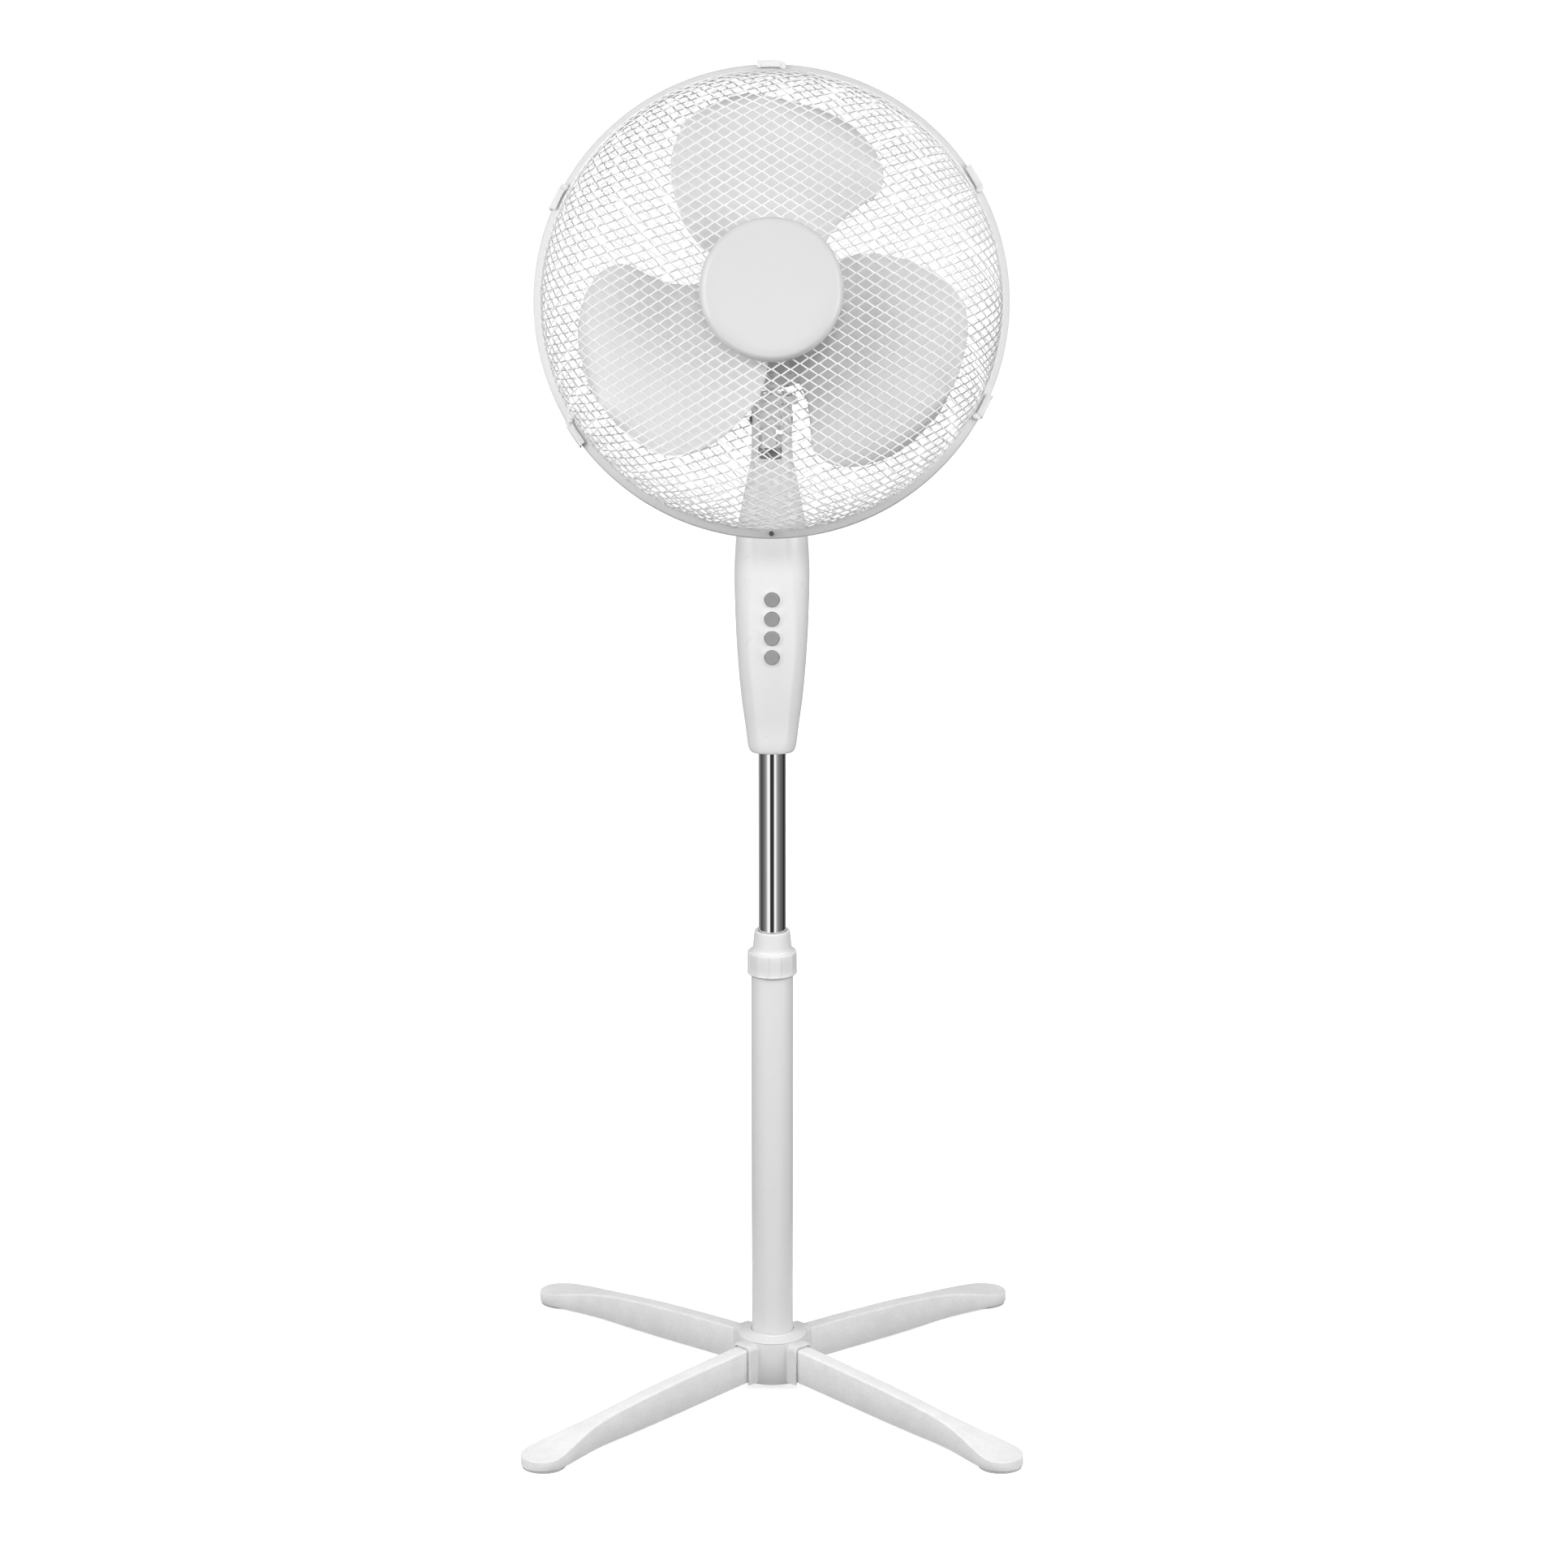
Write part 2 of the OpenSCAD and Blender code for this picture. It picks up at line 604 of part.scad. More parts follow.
// Perforated sheet on the dome between arc lengths s_in and s_out
module mesh_dome(depth, s_in) {
  s_out = guard_flat + shoulder_len(depth);
  keep = 6;
  ni = ceil(2 * s_out / mesh_a) + 1;
  nj = ceil(2 * s_out / mesh_b) + 1;
  rows = 2 * nj + 1;
  count = (2 * ni + 1) * rows;
  open = 1 - strand_w * norm([mesh_a, mesh_b]) / (mesh_a * mesh_b);
  function at(i, j) = let (p = [i * mesh_a / 2 + 0.001, j * mesh_b / 2 + 0.001], s = norm(p))
    p * min(s_out, max(s_in, s)) / s;
  function used(i, j) = let (s = norm([i * mesh_a, j * mesh_b]) / 2) s > s_in + keep && s < s_out - keep;
  function id(i, j) = (i + ni) * rows + j + nj;
  step = [[1, 0], [0, 1], [-1, 0], [0, -1]];
  cells = [for (i = [1 - ni : ni - 1]) for (j = [1 - nj : nj - 1])
    if ((i + j) % 2 != 0 && used(i, j)) [i, j]];
  lattice = [for (i = [-ni : ni]) for (j = [-nj : nj]) at(i, j)];
  holes = [for (c = cells) let (q = [for (k = [0 : 3]) at(c[0] + step[k][0], c[1] + step[k][1])],
    m = (q[0] + q[1] + q[2] + q[3]) / 4) for (k = [0 : 3]) m + (q[k] - m) * open];
  nh = len(holes);
  points = concat([for (p = lattice) dome_point(p, depth, 1)], [for (p = lattice) dome_point(p, depth, -1)],
                  [for (p = holes) dome_point(p, depth, 1)], [for (p = holes) dome_point(p, depth, -1)]);
  quads = [for (c = [0 : len(cells) - 1]) for (k = [0 : 3])
    let (i = cells[c][0], j = cells[c][1], n = (k + 1) % 4,
      a = id(i + step[k][0], j + step[k][1]), b = id(i + step[n][0], j + step[n][1]),
      ha = 2 * count + 4 * c + k, hb = 2 * count + 4 * c + n,
      free = !used(i + step[k][0] + step[n][0], j + step[k][1] + step[n][1]))
    each concat([[a, ha, hb, b], [b + count, hb + nh, ha + nh, a + count], [hb, ha, ha + nh, hb + nh]],
                free ? [[a, b, b + count, a + count]] : [])];
  polyhedron(points, [for (q = quads) each [[q[0], q[1], q[2]], [q[0], q[2], q[3]]]], convexity = 20);
}

module front_guard() {
  color("white") head() translate([0, front_y, 0]) mesh_dome(68, 50);
}

module rear_guard() {
  color("white") head() translate([0, rear_y, 0]) mirror([0, 1, 0]) mesh_dome(54.8, 44);
}

module rear_guard_plate() {
  color("white") head() along(rear_y - guard_t / 2 - 1.6) ring(54, 20 + 0.2, 1.6);
}

module guard_nut() {
  color("whitesmoke") head() along(rear_y - guard_t / 2 - 11.6) difference() {
    ring(32, 20.2, 10);
    for (turn = [0 : 30 : 330]) rotate([0, 0, turn]) translate([33, 0, -1])
      cylinder(r = 2.4, h = 12, $fn = 24);
  }
}

module hoop(y0, holes) {
  head() difference() {
    along(y0) ring(hoop_r, hoop_in, hoop_h);
    if (holes) clip_pins(1.25 + fit, y0 - 1, hoop_h + 2);
    if (holes) along(y0 - 1) translate([0, hoop_r - 3.5, 0]) cylinder(r = 1.2, h = hoop_h + 2);
  }
}

module clip_pins(r, y0, h) {
  for (a = clip_angles) along(y0) rotate([0, 0, clip_half - a]) translate([hoop_r - 3, 0, 0])
    cylinder(r = r, h = h);
}

module front_hoop() color("whitesmoke") hoop(-hoop_y - hoop_h, true);
module rear_hoop() color("whitesmoke") hoop(-hoop_y, false);

module hub_cap() {
  color("whitesmoke") head() along(front_y - 13.3) rotate_extrude() polygon([[0, 0], [cap_r - 5, 0.6],
    [cap_r - 2.2, 2], [cap_r - 0.7, 4.4], [cap_r, 8], [cap_r, 12.4], [cap_r - 2.4, 12.4], [cap_r - 2.4, 8],
    [cap_r - 4, 4.6], [cap_r - 7, 3], [0, 2.4]]);
}

// Spring clip over both halves of the hoop, on a pin at its clockwise end. The plate starts
// clear of the pin, so that it swings outwards past the hoop.
module clip(a) {
  y0 = -hoop_y - hoop_h - 1.8;
  reach = hoop_r * sin(clip_half);
  color("whitesmoke") head() along(y0) rotate([0, 0, -a]) {
    intersection() {
      ring(hoop_r + 2, hoop_r + 0.35, 2 * hoop_h + 1.8);
      translate([hoop_r - 5, -12, 0]) cube([10, reach + 9.5, 2 * hoop_h + 2]);
    }
    translate([hoop_r - 4, 2, 0]) cube([5.9, reach - 2, 1.45]);
    translate([(hoop_r - 3) * cos(clip_half), (hoop_r - 3) * sin(clip_half), 0]) {
      translate([0, 0, -0.4]) cylinder(r = 2.25, h = 1.85);
      cylinder(r = 1.25, h = 9);
    }
  }
}

module clip_top() clip(clip_angles[0]);
module clip_upper_right() clip(clip_angles[1]);
module clip_lower_right() clip(clip_angles[2]);
module clip_lower_left() clip(clip_angles[3]);
module clip_upper_left() clip(clip_angles[4]);

module hoop_screw() {
  color("silver") head() {
    along(-hoop_y - hoop_h - 1.4) translate([0, hoop_r - 3.5, 0]) cylinder(r = 2.1, h = 1.4);
    along(-hoop_y - hoop_h - eps) translate([0, hoop_r - 3.5, 0]) cylinder(r = 1.2, h = hoop_h);
  }
}

// ---- Impeller ----
// Blade outline: radius, then the angle of its trailing (front) and leading (rear) edge
blade_rows = [[38, 148, 44], [62, 147, 47], [85, 143.5, 49.5], [107, 137, 47.5], [127, 131, 45.5],
              [142, 126, 48.5], [153, 121, 54.5], [161, 116.5, 62.5], [166, 110, 71.5], [blade_r, 97, 86]];
blade_cols = 10;
blade_t = 1.8;
function blade_y(t) = -hoop_y + 4.3 - 50 * t - 5 * sin(180 * t);
function blade_point(row, t, side) = let (a = row[2] + (row[1] - row[2]) * t)
  [row[0] * cos(a), blade_y(t) + side * blade_t / 2, row[0] * sin(a)];
blade_m = blade_cols + 1;
blade_loop = 2 * blade_m;
blade_points = [for (row = blade_rows) for (side = [-1, 1]) for (k = [0 : blade_cols])
  blade_point(row, side < 0 ? k / blade_cols : 1 - k / blade_cols, side)];
function fan_cap(base, flip) = [for (k = [0 : blade_cols - 1]) for (h = [0, 1])
  let (q = [base + k, base + k + 1, base + blade_loop - 2 - k, base + blade_loop - 1 - k],
       f = h == 0 ? [q[0], q[1], q[2]] : [q[0], q[2], q[3]]) flip ? [f[2], f[1], f[0]] : f];
blade_faces = concat(
  [for (r = [0 : len(blade_rows) - 2]) for (k = [0 : blade_loop - 1]) for (h = [0, 1])
    let (n = (k + 1) % blade_loop, lo = r * blade_loop, up = lo + blade_loop)
    h == 0 ? [lo + k, lo + n, up + n] : [lo + k, up + n, up + k]],
  fan_cap(0, true), fan_cap((len(blade_rows) - 1) * blade_loop, false));

module impeller() {
  color("lightgray") head() {
    difference() {
      along(-hoop_y - 50) cylinder(r1 = 38, r2 = 42, h = 58);
      along(-hoop_y - 46) cylinder(r = 35, h = 60);
      along(-hoop_y - 60) cylinder(r = 4, h = 60);
    }
    difference() {
      along(-hoop_y - 48) cylinder(r = 9, h = 40);
      along(-hoop_y - 60) cylinder(r = 4, h = 80);
    }
    for (turn = [0 : 360 / blades : 359]) rotate([0, -turn, 0])
      polyhedron(blade_points, blade_faces, convexity = 6);
  }
}

module impeller_nut() {
  color("whitesmoke") head() difference() {
    along(-hoop_y - 64) cylinder(r1 = 12, r2 = 17, h = 14);
    along(-hoop_y - 61.8) cylinder(r = 4, h = 20);
  }
}

base_hub();
leg_front_left();
leg_front_right();
leg_rear_right();
leg_rear_left();
foot_pads();
base_bolt();
tube_plug();
pole_flange();
lower_tube();
collet();
collar_nut();
upper_tube();
guide_bush();
tube_sleeve();
tube_screw();
box_rear_shell();
box_front_shell();
box_screws();
switch_block();
button_1();
button_2();
button_3();
button_4();
capacitor();
cord_inlet();
tilt_bracket();
tilt_bolt();
tilt_nut();
motor_front_cover();
motor_rear_cover();
motor_screws();
stator_core();
windings();
front_bearing();
rear_bearing();
gearbox_case();
rotor_core();
shaft();
worm();
worm_wheel();
output_gear();
crank();
link_arm();
oscillation_knob();
rear_guard();
rear_guard_plate();
guard_nut();
rear_hoop();
front_hoop();
front_guard();
hub_cap();
clip_top();
clip_upper_right();
clip_lower_right();
clip_lower_left();
clip_upper_left();
hoop_screw();
impeller();
impeller_nut();
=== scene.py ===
import json
import math

import bmesh
import bpy
import numpy as np
from mathutils import Matrix, Vector

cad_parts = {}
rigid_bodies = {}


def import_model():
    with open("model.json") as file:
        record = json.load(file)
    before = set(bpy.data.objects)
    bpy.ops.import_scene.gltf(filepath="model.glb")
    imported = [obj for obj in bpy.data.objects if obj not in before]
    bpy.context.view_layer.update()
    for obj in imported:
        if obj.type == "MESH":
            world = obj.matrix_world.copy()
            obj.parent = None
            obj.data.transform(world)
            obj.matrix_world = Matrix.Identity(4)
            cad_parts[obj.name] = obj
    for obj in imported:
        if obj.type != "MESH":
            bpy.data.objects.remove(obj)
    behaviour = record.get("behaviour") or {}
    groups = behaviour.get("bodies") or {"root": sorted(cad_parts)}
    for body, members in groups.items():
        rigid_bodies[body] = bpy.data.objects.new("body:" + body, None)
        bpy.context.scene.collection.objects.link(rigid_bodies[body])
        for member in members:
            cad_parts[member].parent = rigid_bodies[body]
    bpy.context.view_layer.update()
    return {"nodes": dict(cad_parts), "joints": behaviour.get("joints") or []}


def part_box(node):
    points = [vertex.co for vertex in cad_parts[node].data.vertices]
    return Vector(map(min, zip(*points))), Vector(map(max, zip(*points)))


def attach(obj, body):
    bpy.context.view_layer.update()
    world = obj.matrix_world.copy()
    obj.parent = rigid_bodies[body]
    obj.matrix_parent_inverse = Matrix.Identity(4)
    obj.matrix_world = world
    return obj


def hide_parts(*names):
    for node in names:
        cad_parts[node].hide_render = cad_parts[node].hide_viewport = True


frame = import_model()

NODES = frame["nodes"]
JOINTS = {j["name"]: j for j in frame["joints"]}
MM = Matrix.Scale(0.001, 4)


def rad(a):
    return math.radians(a)


def head_frame():
    """Head frame: origin where the shaft crosses the oscillation axis, -Y forwards, +Z up."""
    forward = Vector(JOINTS["fan_spin"]["axis"]).normalized()
    up = Vector(JOINTS["oscillation"]["axis"]).normalized()
    origin = Vector(JOINTS["fan_spin"]["pos_m"])
    rot = Matrix(((1, 0, 0), -forward, up)).transposed().to_4x4()
    return Matrix.Translation(origin) @ rot @ MM


STAND = MM
HEAD = head_frame()


def turn(a, axis="Z"):
    return Matrix.Rotation(rad(a), 4, axis)


def move(x, y, z):
    return Matrix.Translation((x, y, z))


def along(y0):
    """A shape drawn along +Z runs along +Y from y0."""
    return move(0, y0, 0) @ turn(-90, "X")


# ---------------------------------------------------------------- materials
PLASTIC_IOR = 1.47


def empty_tree(owner):
    """Empties the node tree of a material or a world. Gives what makes its nodes and links."""
    owner.use_nodes = True
    owner.node_tree.nodes.clear()
    return owner.node_tree.nodes.new, owner.node_tree.links.new


def surface(name, colour, rough, metal=0.0, mottle=0.03, mottle_scale=30.0, rough_var=0.08,
            grain=900.0, grain_depth=0.00002, speckle=0.0, stretch=(1, 1, 1), coat=0.0, glow=0.0):
    """Procedural finish. colour: red, green and blue, or one number for a grey. mottle: slow
    change of tone. grain: fine bump, its depth in metres. speckle: fine change of tone.
    stretch: squeezes the grain along an axis. glow: white light given off."""
    m = bpy.data.materials.new(name)
    new, link = empty_tree(m)
    out = new("ShaderNodeOutputMaterial")
    bsdf = new("ShaderNodeBsdfPrincipled")
    link(bsdf.outputs[0], out.inputs[0])
    bsdf.inputs["Metallic"].default_value = metal
    bsdf.inputs["IOR"].default_value = PLASTIC_IOR
    bsdf.inputs["Coat Weight"].default_value = coat
    bsdf.inputs["Coat Roughness"].default_value = 0.12
    bsdf.inputs["Emission Strength"].default_value = glow
    bsdf.inputs["Emission Color"].default_value = (1, 1, 1, 1)
    coord = new("ShaderNodeTexCoord")
    squeeze = new("ShaderNodeMapping")
    squeeze.inputs["Scale"].default_value = stretch
    link(coord.outputs["Object"], squeeze.inputs["Vector"])

    def noise(scale, detail, source):
        n = new("ShaderNodeTexNoise")
        n.inputs["Scale"].default_value = scale
        n.inputs["Detail"].default_value = detail
        n.inputs["Roughness"].default_value = 0.55
        link(source, n.inputs["Vector"])
        return n.outputs["Fac"]

    def ranged(value, lo, hi):
        r = new("ShaderNodeMapRange")
        r.inputs["From Min"].default_value = 0.3
        r.inputs["From Max"].default_value = 0.7
        r.inputs["To Min"].default_value = lo
        r.inputs["To Max"].default_value = hi
        link(value, r.inputs["Value"])
        return r.outputs[0]

    slow = noise(mottle_scale, 3, coord.outputs["Object"])
    fine = noise(grain, 2, squeeze.outputs[0])
    tone = ranged(slow, 1 - mottle, 1 + mottle * 0.4)
    if speckle:
        mul = new("ShaderNodeMath")
        mul.operation = "MULTIPLY"
        link(tone, mul.inputs[0])
        link(ranged(fine, 1 - speckle, 1 + speckle * 0.5), mul.inputs[1])
        tone = mul.outputs[0]
    paint = new("ShaderNodeVectorMath")
    paint.operation = "SCALE"
    paint.inputs[0].default_value = colour if isinstance(colour, tuple) else (colour,) * 3
    link(tone, paint.inputs["Scale"])
    link(paint.outputs[0], bsdf.inputs["Base Color"])
    link(ranged(noise(mottle_scale * 3, 4, squeeze.outputs[0]), rough - rough_var, rough + rough_var),
         bsdf.inputs["Roughness"])
    bump = new("ShaderNodeBump")
    bump.inputs["Strength"].default_value = 1.0
    bump.inputs["Distance"].default_value = grain_depth
    link(fine, bump.inputs["Height"])
    link(bump.outputs[0], bsdf.inputs["Normal"])
    return m


WHITE = surface("moulded_white", 0.86, 0.34, mottle=0.012, grain=700, grain_depth=0.000012)
SOFT_WHITE = surface("soft_white", 0.80, 0.42, mottle=0.012, grain=800, grain_depth=0.00002)
CAP = surface("cap_white", 0.64, 0.24, mottle=0.006, rough_var=0.03, grain=500,
              grain_depth=0.000008)
LEG = surface("grained_white", 0.93, 0.45, mottle=0.05, mottle_scale=60, grain=1100,
              grain_depth=0.00009, speckle=0.10)
# The legs' grained white made darker for the hub: painted shade, standing in for the shade that falls on
# the hub low between the legs and under the flange
SHADED_HUB = surface("shaded_hub_white", 0.75, 0.45, mottle=0.02, mottle_scale=60, grain=1100,
              grain_depth=0.00003, speckle=0.02)
FLANGE = surface("flange_white", 0.77, 0.42, mottle=0.012, grain=800, grain_depth=0.00002)
COLLAR = surface("collar_white", 0.82, 0.36, mottle=0.012, grain=800, grain_depth=0.000015)
POLE = surface("powder_coat", 0.75, 0.38, mottle=0.012, grain=1500, grain_depth=0.000025,
               speckle=0.015)
CHROME = surface("chrome_plate", (0.88, 0.88, 0.89), 0.035, metal=1.0, mottle=0.01, grain=120,
                 grain_depth=0.000002, rough_var=0.01, stretch=(1, 1, 0.05))
BUTTON = surface("button_grey", 0.33, 0.45, mottle=0.03, grain=1200, grain_depth=0.00002)
BLACK = surface("dark_plastic", (0.05, 0.05, 0.052), 0.45, mottle=0.05, grain=900, grain_depth=0.00002)
GREYDARK = surface("grey_plastic", (0.16, 0.16, 0.165), 0.45, mottle=0.05, grain=900)
RUBBER = surface("pad_rubber", 0.62, 0.75, mottle=0.05, grain=1400, grain_depth=0.00006,
                 speckle=0.06)
STEEL = surface("zinc_plate", (0.60, 0.61, 0.63), 0.28, metal=1.0, mottle=0.08, mottle_scale=120,
                grain=1500, grain_depth=0.00001)
DARK_STEEL = surface("dark_zinc", (0.20, 0.20, 0.21), 0.25, metal=1.0, mottle=0.05,
                     mottle_scale=120, grain=1500)
LAMINATE = surface("laminations", (0.32, 0.32, 0.34), 0.42, metal=1.0, mottle=0.15, mottle_scale=80,
                   grain=2200, grain_depth=0.00006, stretch=(0.05, 1, 0.05))
COPPER = surface("enamelled_copper", (0.56, 0.22, 0.09), 0.32, metal=0.9, mottle=0.15, mottle_scale=90,
                 grain=2400, grain_depth=0.0001, stretch=(0.1, 0.1, 1), coat=0.4)
BRONZE = surface("sintered_bronze", (0.52, 0.36, 0.17), 0.5, metal=1.0, mottle=0.12, mottle_scale=200,
                 grain=3000, grain_depth=0.00003)
ZINC = surface("die_cast", (0.50, 0.50, 0.51), 0.5, metal=1.0, mottle=0.08, mottle_scale=90,
               grain=1300, grain_depth=0.00006)
NYLON = surface("nylon", (0.78, 0.75, 0.66), 0.5, mottle=0.04, grain=900)
MESH = surface("white_enamel", 0.87, 0.32, mottle=0.03, mottle_scale=150, grain=1600,
               grain_depth=0.00003)
HOOP = surface("hoop_white", 0.76, 0.33, mottle=0.02, grain=700, grain_depth=0.000015)
BLADE = surface("blade_plastic", 0.75, 0.36, mottle=0.012, mottle_scale=12, grain=500,
                grain_depth=0.000015)

# Finish of the nodes that keep their CAD shape
FINISH = {
    "base_bolt": STEEL, "tube_plug": BLACK, "collet": SOFT_WHITE, "guide_bush": BLACK,
    "tube_sleeve": WHITE, "tube_screw": STEEL, "box_screws": STEEL, "switch_block": BLACK,
    "capacitor": GREYDARK, "cord_inlet": GREYDARK, "tilt_bolt": STEEL, "tilt_nut": GREYDARK,
    "motor_screws": STEEL, "stator_core": LAMINATE, "windings": COPPER, "front_bearing": BRONZE,
    "rear_bearing": BRONZE, "gearbox_case": ZINC, "rotor_core": LAMINATE, "shaft": STEEL,
    "worm": STEEL, "worm_wheel": NYLON, "output_gear": NYLON, "crank": STEEL, "link_arm": STEEL,
    "hoop_screw": DARK_STEEL, "rear_guard_plate": MESH, "foot_pads": RUBBER, "tilt_bracket": WHITE,
}
# Width of the bevel on the carried-over nodes, in millimetres
SOFT_EDGE = {"tilt_bracket": 0.8, "tilt_bolt": 0.4, "tilt_nut": 0.4, "gearbox_case": 0.8,
             "capacitor": 1.2, "switch_block": 0.6, "hoop_screw": 0.35, "box_screws": 0.3,
             "motor_screws": 0.3, "base_bolt": 0.5, "cord_inlet": 0.5, "crank": 0.3, "foot_pads": 0.5}


# ---------------------------------------------------------------- mesh helpers
WELD = 2e-6      # vertices nearer than this, in metres, become one


def add_object(name, data):
    obj = bpy.data.objects.new(name, data)
    bpy.context.scene.collection.objects.link(obj)
    return obj


def joined(name, parts):
    """One mesh from (matrix, vertices, faces) parts, with its normals pointing outwards."""
    bm = bmesh.new()
    for where, verts, faces in parts:
        made = [bm.verts.new(where @ Vector(v)) for v in verts]
        for f in faces:
            loop = [made[k] for k in dict.fromkeys(f)]
            if len(loop) > 2:
                try:
                    bm.faces.new(loop)
                except ValueError:
                    pass        # the same face is there already
    bmesh.ops.remove_doubles(bm, verts=bm.verts, dist=WELD)
    bmesh.ops.dissolve_degenerate(bm, edges=bm.edges, dist=WELD / 2)
    bmesh.ops.recalc_face_normals(bm, faces=bm.faces)
    me = bpy.data.meshes.new(name)
    bm.to_mesh(me)
    bm.free()
    return me


def piece(name, parts, body, material, replaces=(), crease=38.0, bevel=0.0, cutters=()):
    """One object from (matrix, vertices, faces) parts, cut by groups of closed parts. Edges
    sharper than crease degrees stay hard, or get a bevel of the given width in millimetres."""
    obj = add_object(name, joined(name, parts))
    obj.data.materials.append(material)
    for cutter in cutters:
        cut(obj, cutter)
    for poly in obj.data.polygons:
        poly.use_smooth = True
    obj.data.set_sharp_from_angle(angle=rad(crease))
    if bevel:
        soften(obj, bevel, crease)
    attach(obj, body)
    if replaces:
        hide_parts(*replaces)
    return obj


def soften(obj, width, angle=38.0):
    mod = obj.modifiers.new("soft_edges", "BEVEL")
    mod.width = width * 0.001
    mod.segments = 2
    mod.limit_method = "ANGLE"
    mod.angle_limit = rad(angle)
    mod.harden_normals = True
    mod.use_clamp_overlap = True


def cut(obj, parts):
    """Cuts closed parts out of obj, one boolean for all of them. Where the quick solver does
    nothing, the exact one is used."""
    me = joined("cutter", parts)
    tool = add_object("cutter", me)
    mod = obj.modifiers.new("cut", "BOOLEAN")
    mod.operation = "DIFFERENCE"
    mod.object = tool
    for solver in ("MANIFOLD", "EXACT"):
        mod.solver = solver
        bpy.context.view_layer.update()
        dg = bpy.context.evaluated_depsgraph_get()
        made = bpy.data.meshes.new_from_object(obj.evaluated_get(dg))
        if len(made.polygons) not in (0, len(obj.data.polygons)):
            break
    obj.modifiers.remove(mod)
    old = obj.data
    obj.data = made
    bpy.data.meshes.remove(old)
    bpy.data.objects.remove(tool)
    bpy.data.meshes.remove(me)


def fillet(points, steps=4):
    """Closed outline from (x, y, radius) corners, each rounded by its radius."""
    done = []
    n = len(points)
    for k, (x, y, r) in enumerate(points):
        p = Vector((x, y))
        if r <= 0:
            done.append((x, y))
            continue
        a = Vector(points[k - 1][:2]) - p
        b = Vector(points[(k + 1) % n][:2]) - p
        la, lb = a.length, b.length
        a, b = a / la, b / lb
        half = a.angle(b) / 2
        reach = min(r / math.tan(half), la * 0.49, lb * 0.49)
        rr = reach * math.tan(half)
        centre = p + (a + b).normalized() * (rr / math.sin(half))
        start, end = p + a * reach - centre, p + b * reach - centre
        sweep = start.angle_signed(end)
        for s in range(steps + 1):
            q = start.copy()
            q.rotate(Matrix.Rotation(-sweep * s / steps, 2))
            done.append(tuple(centre + q))
    return done


def band(a, b, n):
    """Faces between two rings of n vertices, the first ring from index a, the second from b."""
    return [(a + k, a + (k + 1) % n, b + (k + 1) % n, b + k) for k in range(n)]


def fluted(where, rows, sides, radius, closed=True):
    """Turns (radius, height, share) rows round +Z. radius gives the real radius from a row's
    radius and share and from the angle in degrees."""
    n = len(rows)
    verts, faces = [], []
    for r, z, share in rows:
        for k in range(sides):
            a = 360 * k / sides
            rr = radius(r, share, a)
            verts.append((rr * math.cos(rad(a)), rr * math.sin(rad(a)), z))
    for k in range(n if closed else n - 1):
        faces += band(k * sides, (k + 1) % n * sides, sides)
    return where, verts, faces


def turned(where, outline, sides=96, closed=True):
    """Turns (radius, height) points round +Z. An open outline ends on the axis."""
    return fluted(where, [(r, z, 0) for r, z in outline], sides, lambda r, share, a: r, closed)


def disc(where, r, z0, z1, sides=48):
    """Plain solid cylinder."""
    return turned(where, [(0, z0), (r, z0), (r, z1), (0, z1)], sides, False)


def block(where, lo, hi):
    x0, y0, z0 = lo
    x1, y1, z1 = hi
    v = [(x, y, z) for z in (z0, z1) for x, y in ((x0, y0), (x1, y0), (x1, y1), (x0, y1))]
    f = [(0, 3, 2, 1), (4, 5, 6, 7), (0, 1, 5, 4), (1, 2, 6, 5), (2, 3, 7, 6), (3, 0, 4, 7)]
    return where, v, f


def prism(where, outline, z0, z1):
    """Closed outline (x, y) drawn out along Z."""
    n = len(outline)
    v = [(x, y, z0) for x, y in outline] + [(x, y, z1) for x, y in outline]
    f = [tuple(range(n))[::-1], tuple(range(n, 2 * n))]
    return where, v, f + band(0, n, n)


def skin(where, rings):
    """Skin over closed rings of equal length, closed at both ends."""
    n, last = len(rings[0]), (len(rings) - 1) * len(rings[0])
    v = [p for ring in rings for p in ring]
    f = []
    for a in range(0, last, n):
        f += band(a, a + n, n)
    return where, v, f + [tuple(range(n))[::-1], tuple(range(last, last + n))]


def curve(rows, x, column):
    """Smooth value of a table's column at x, by a monotone cubic through its rows."""
    xs = [r[0] for r in rows]
    ys = [r[column] for r in rows]
    if x <= xs[0]:
        return ys[0]
    if x >= xs[-1]:
        return ys[-1]
    k = max(i for i in range(len(xs) - 1) if xs[i] <= x)

    def slope(i):
        if i <= 0 or i >= len(xs) - 1:
            j = min(max(i, 1), len(xs) - 1)
            return (ys[j] - ys[j - 1]) / (xs[j] - xs[j - 1])
        d0 = (ys[i] - ys[i - 1]) / (xs[i] - xs[i - 1])
        d1 = (ys[i + 1] - ys[i]) / (xs[i + 1] - xs[i])
        return 0.0 if d0 * d1 <= 0 else 2 * d0 * d1 / (d0 + d1)

    h = xs[k + 1] - xs[k]
    t = (x - xs[k]) / h
    m0, m1 = slope(k), slope(k + 1)
    return ((2 * t**3 - 3 * t**2 + 1) * ys[k] + (t**3 - 2 * t**2 + t) * h * m0
            + (-2 * t**3 + 3 * t**2) * ys[k + 1] + (t**3 - t**2) * h * m1)


def step(a, b, x):
    """Smooth rise from 0 at a to 1 at b."""
    t = min(1.0, max(0.0, (x - a) / (b - a)))
    return t * t * (3 - 2 * t)


# ---------------------------------------------------------------- camera, lights, floor
# Half the floor's width, and the radius of the white ring that hides its edge, in metres
FLOOR, BACKDROP_R = 40, 38


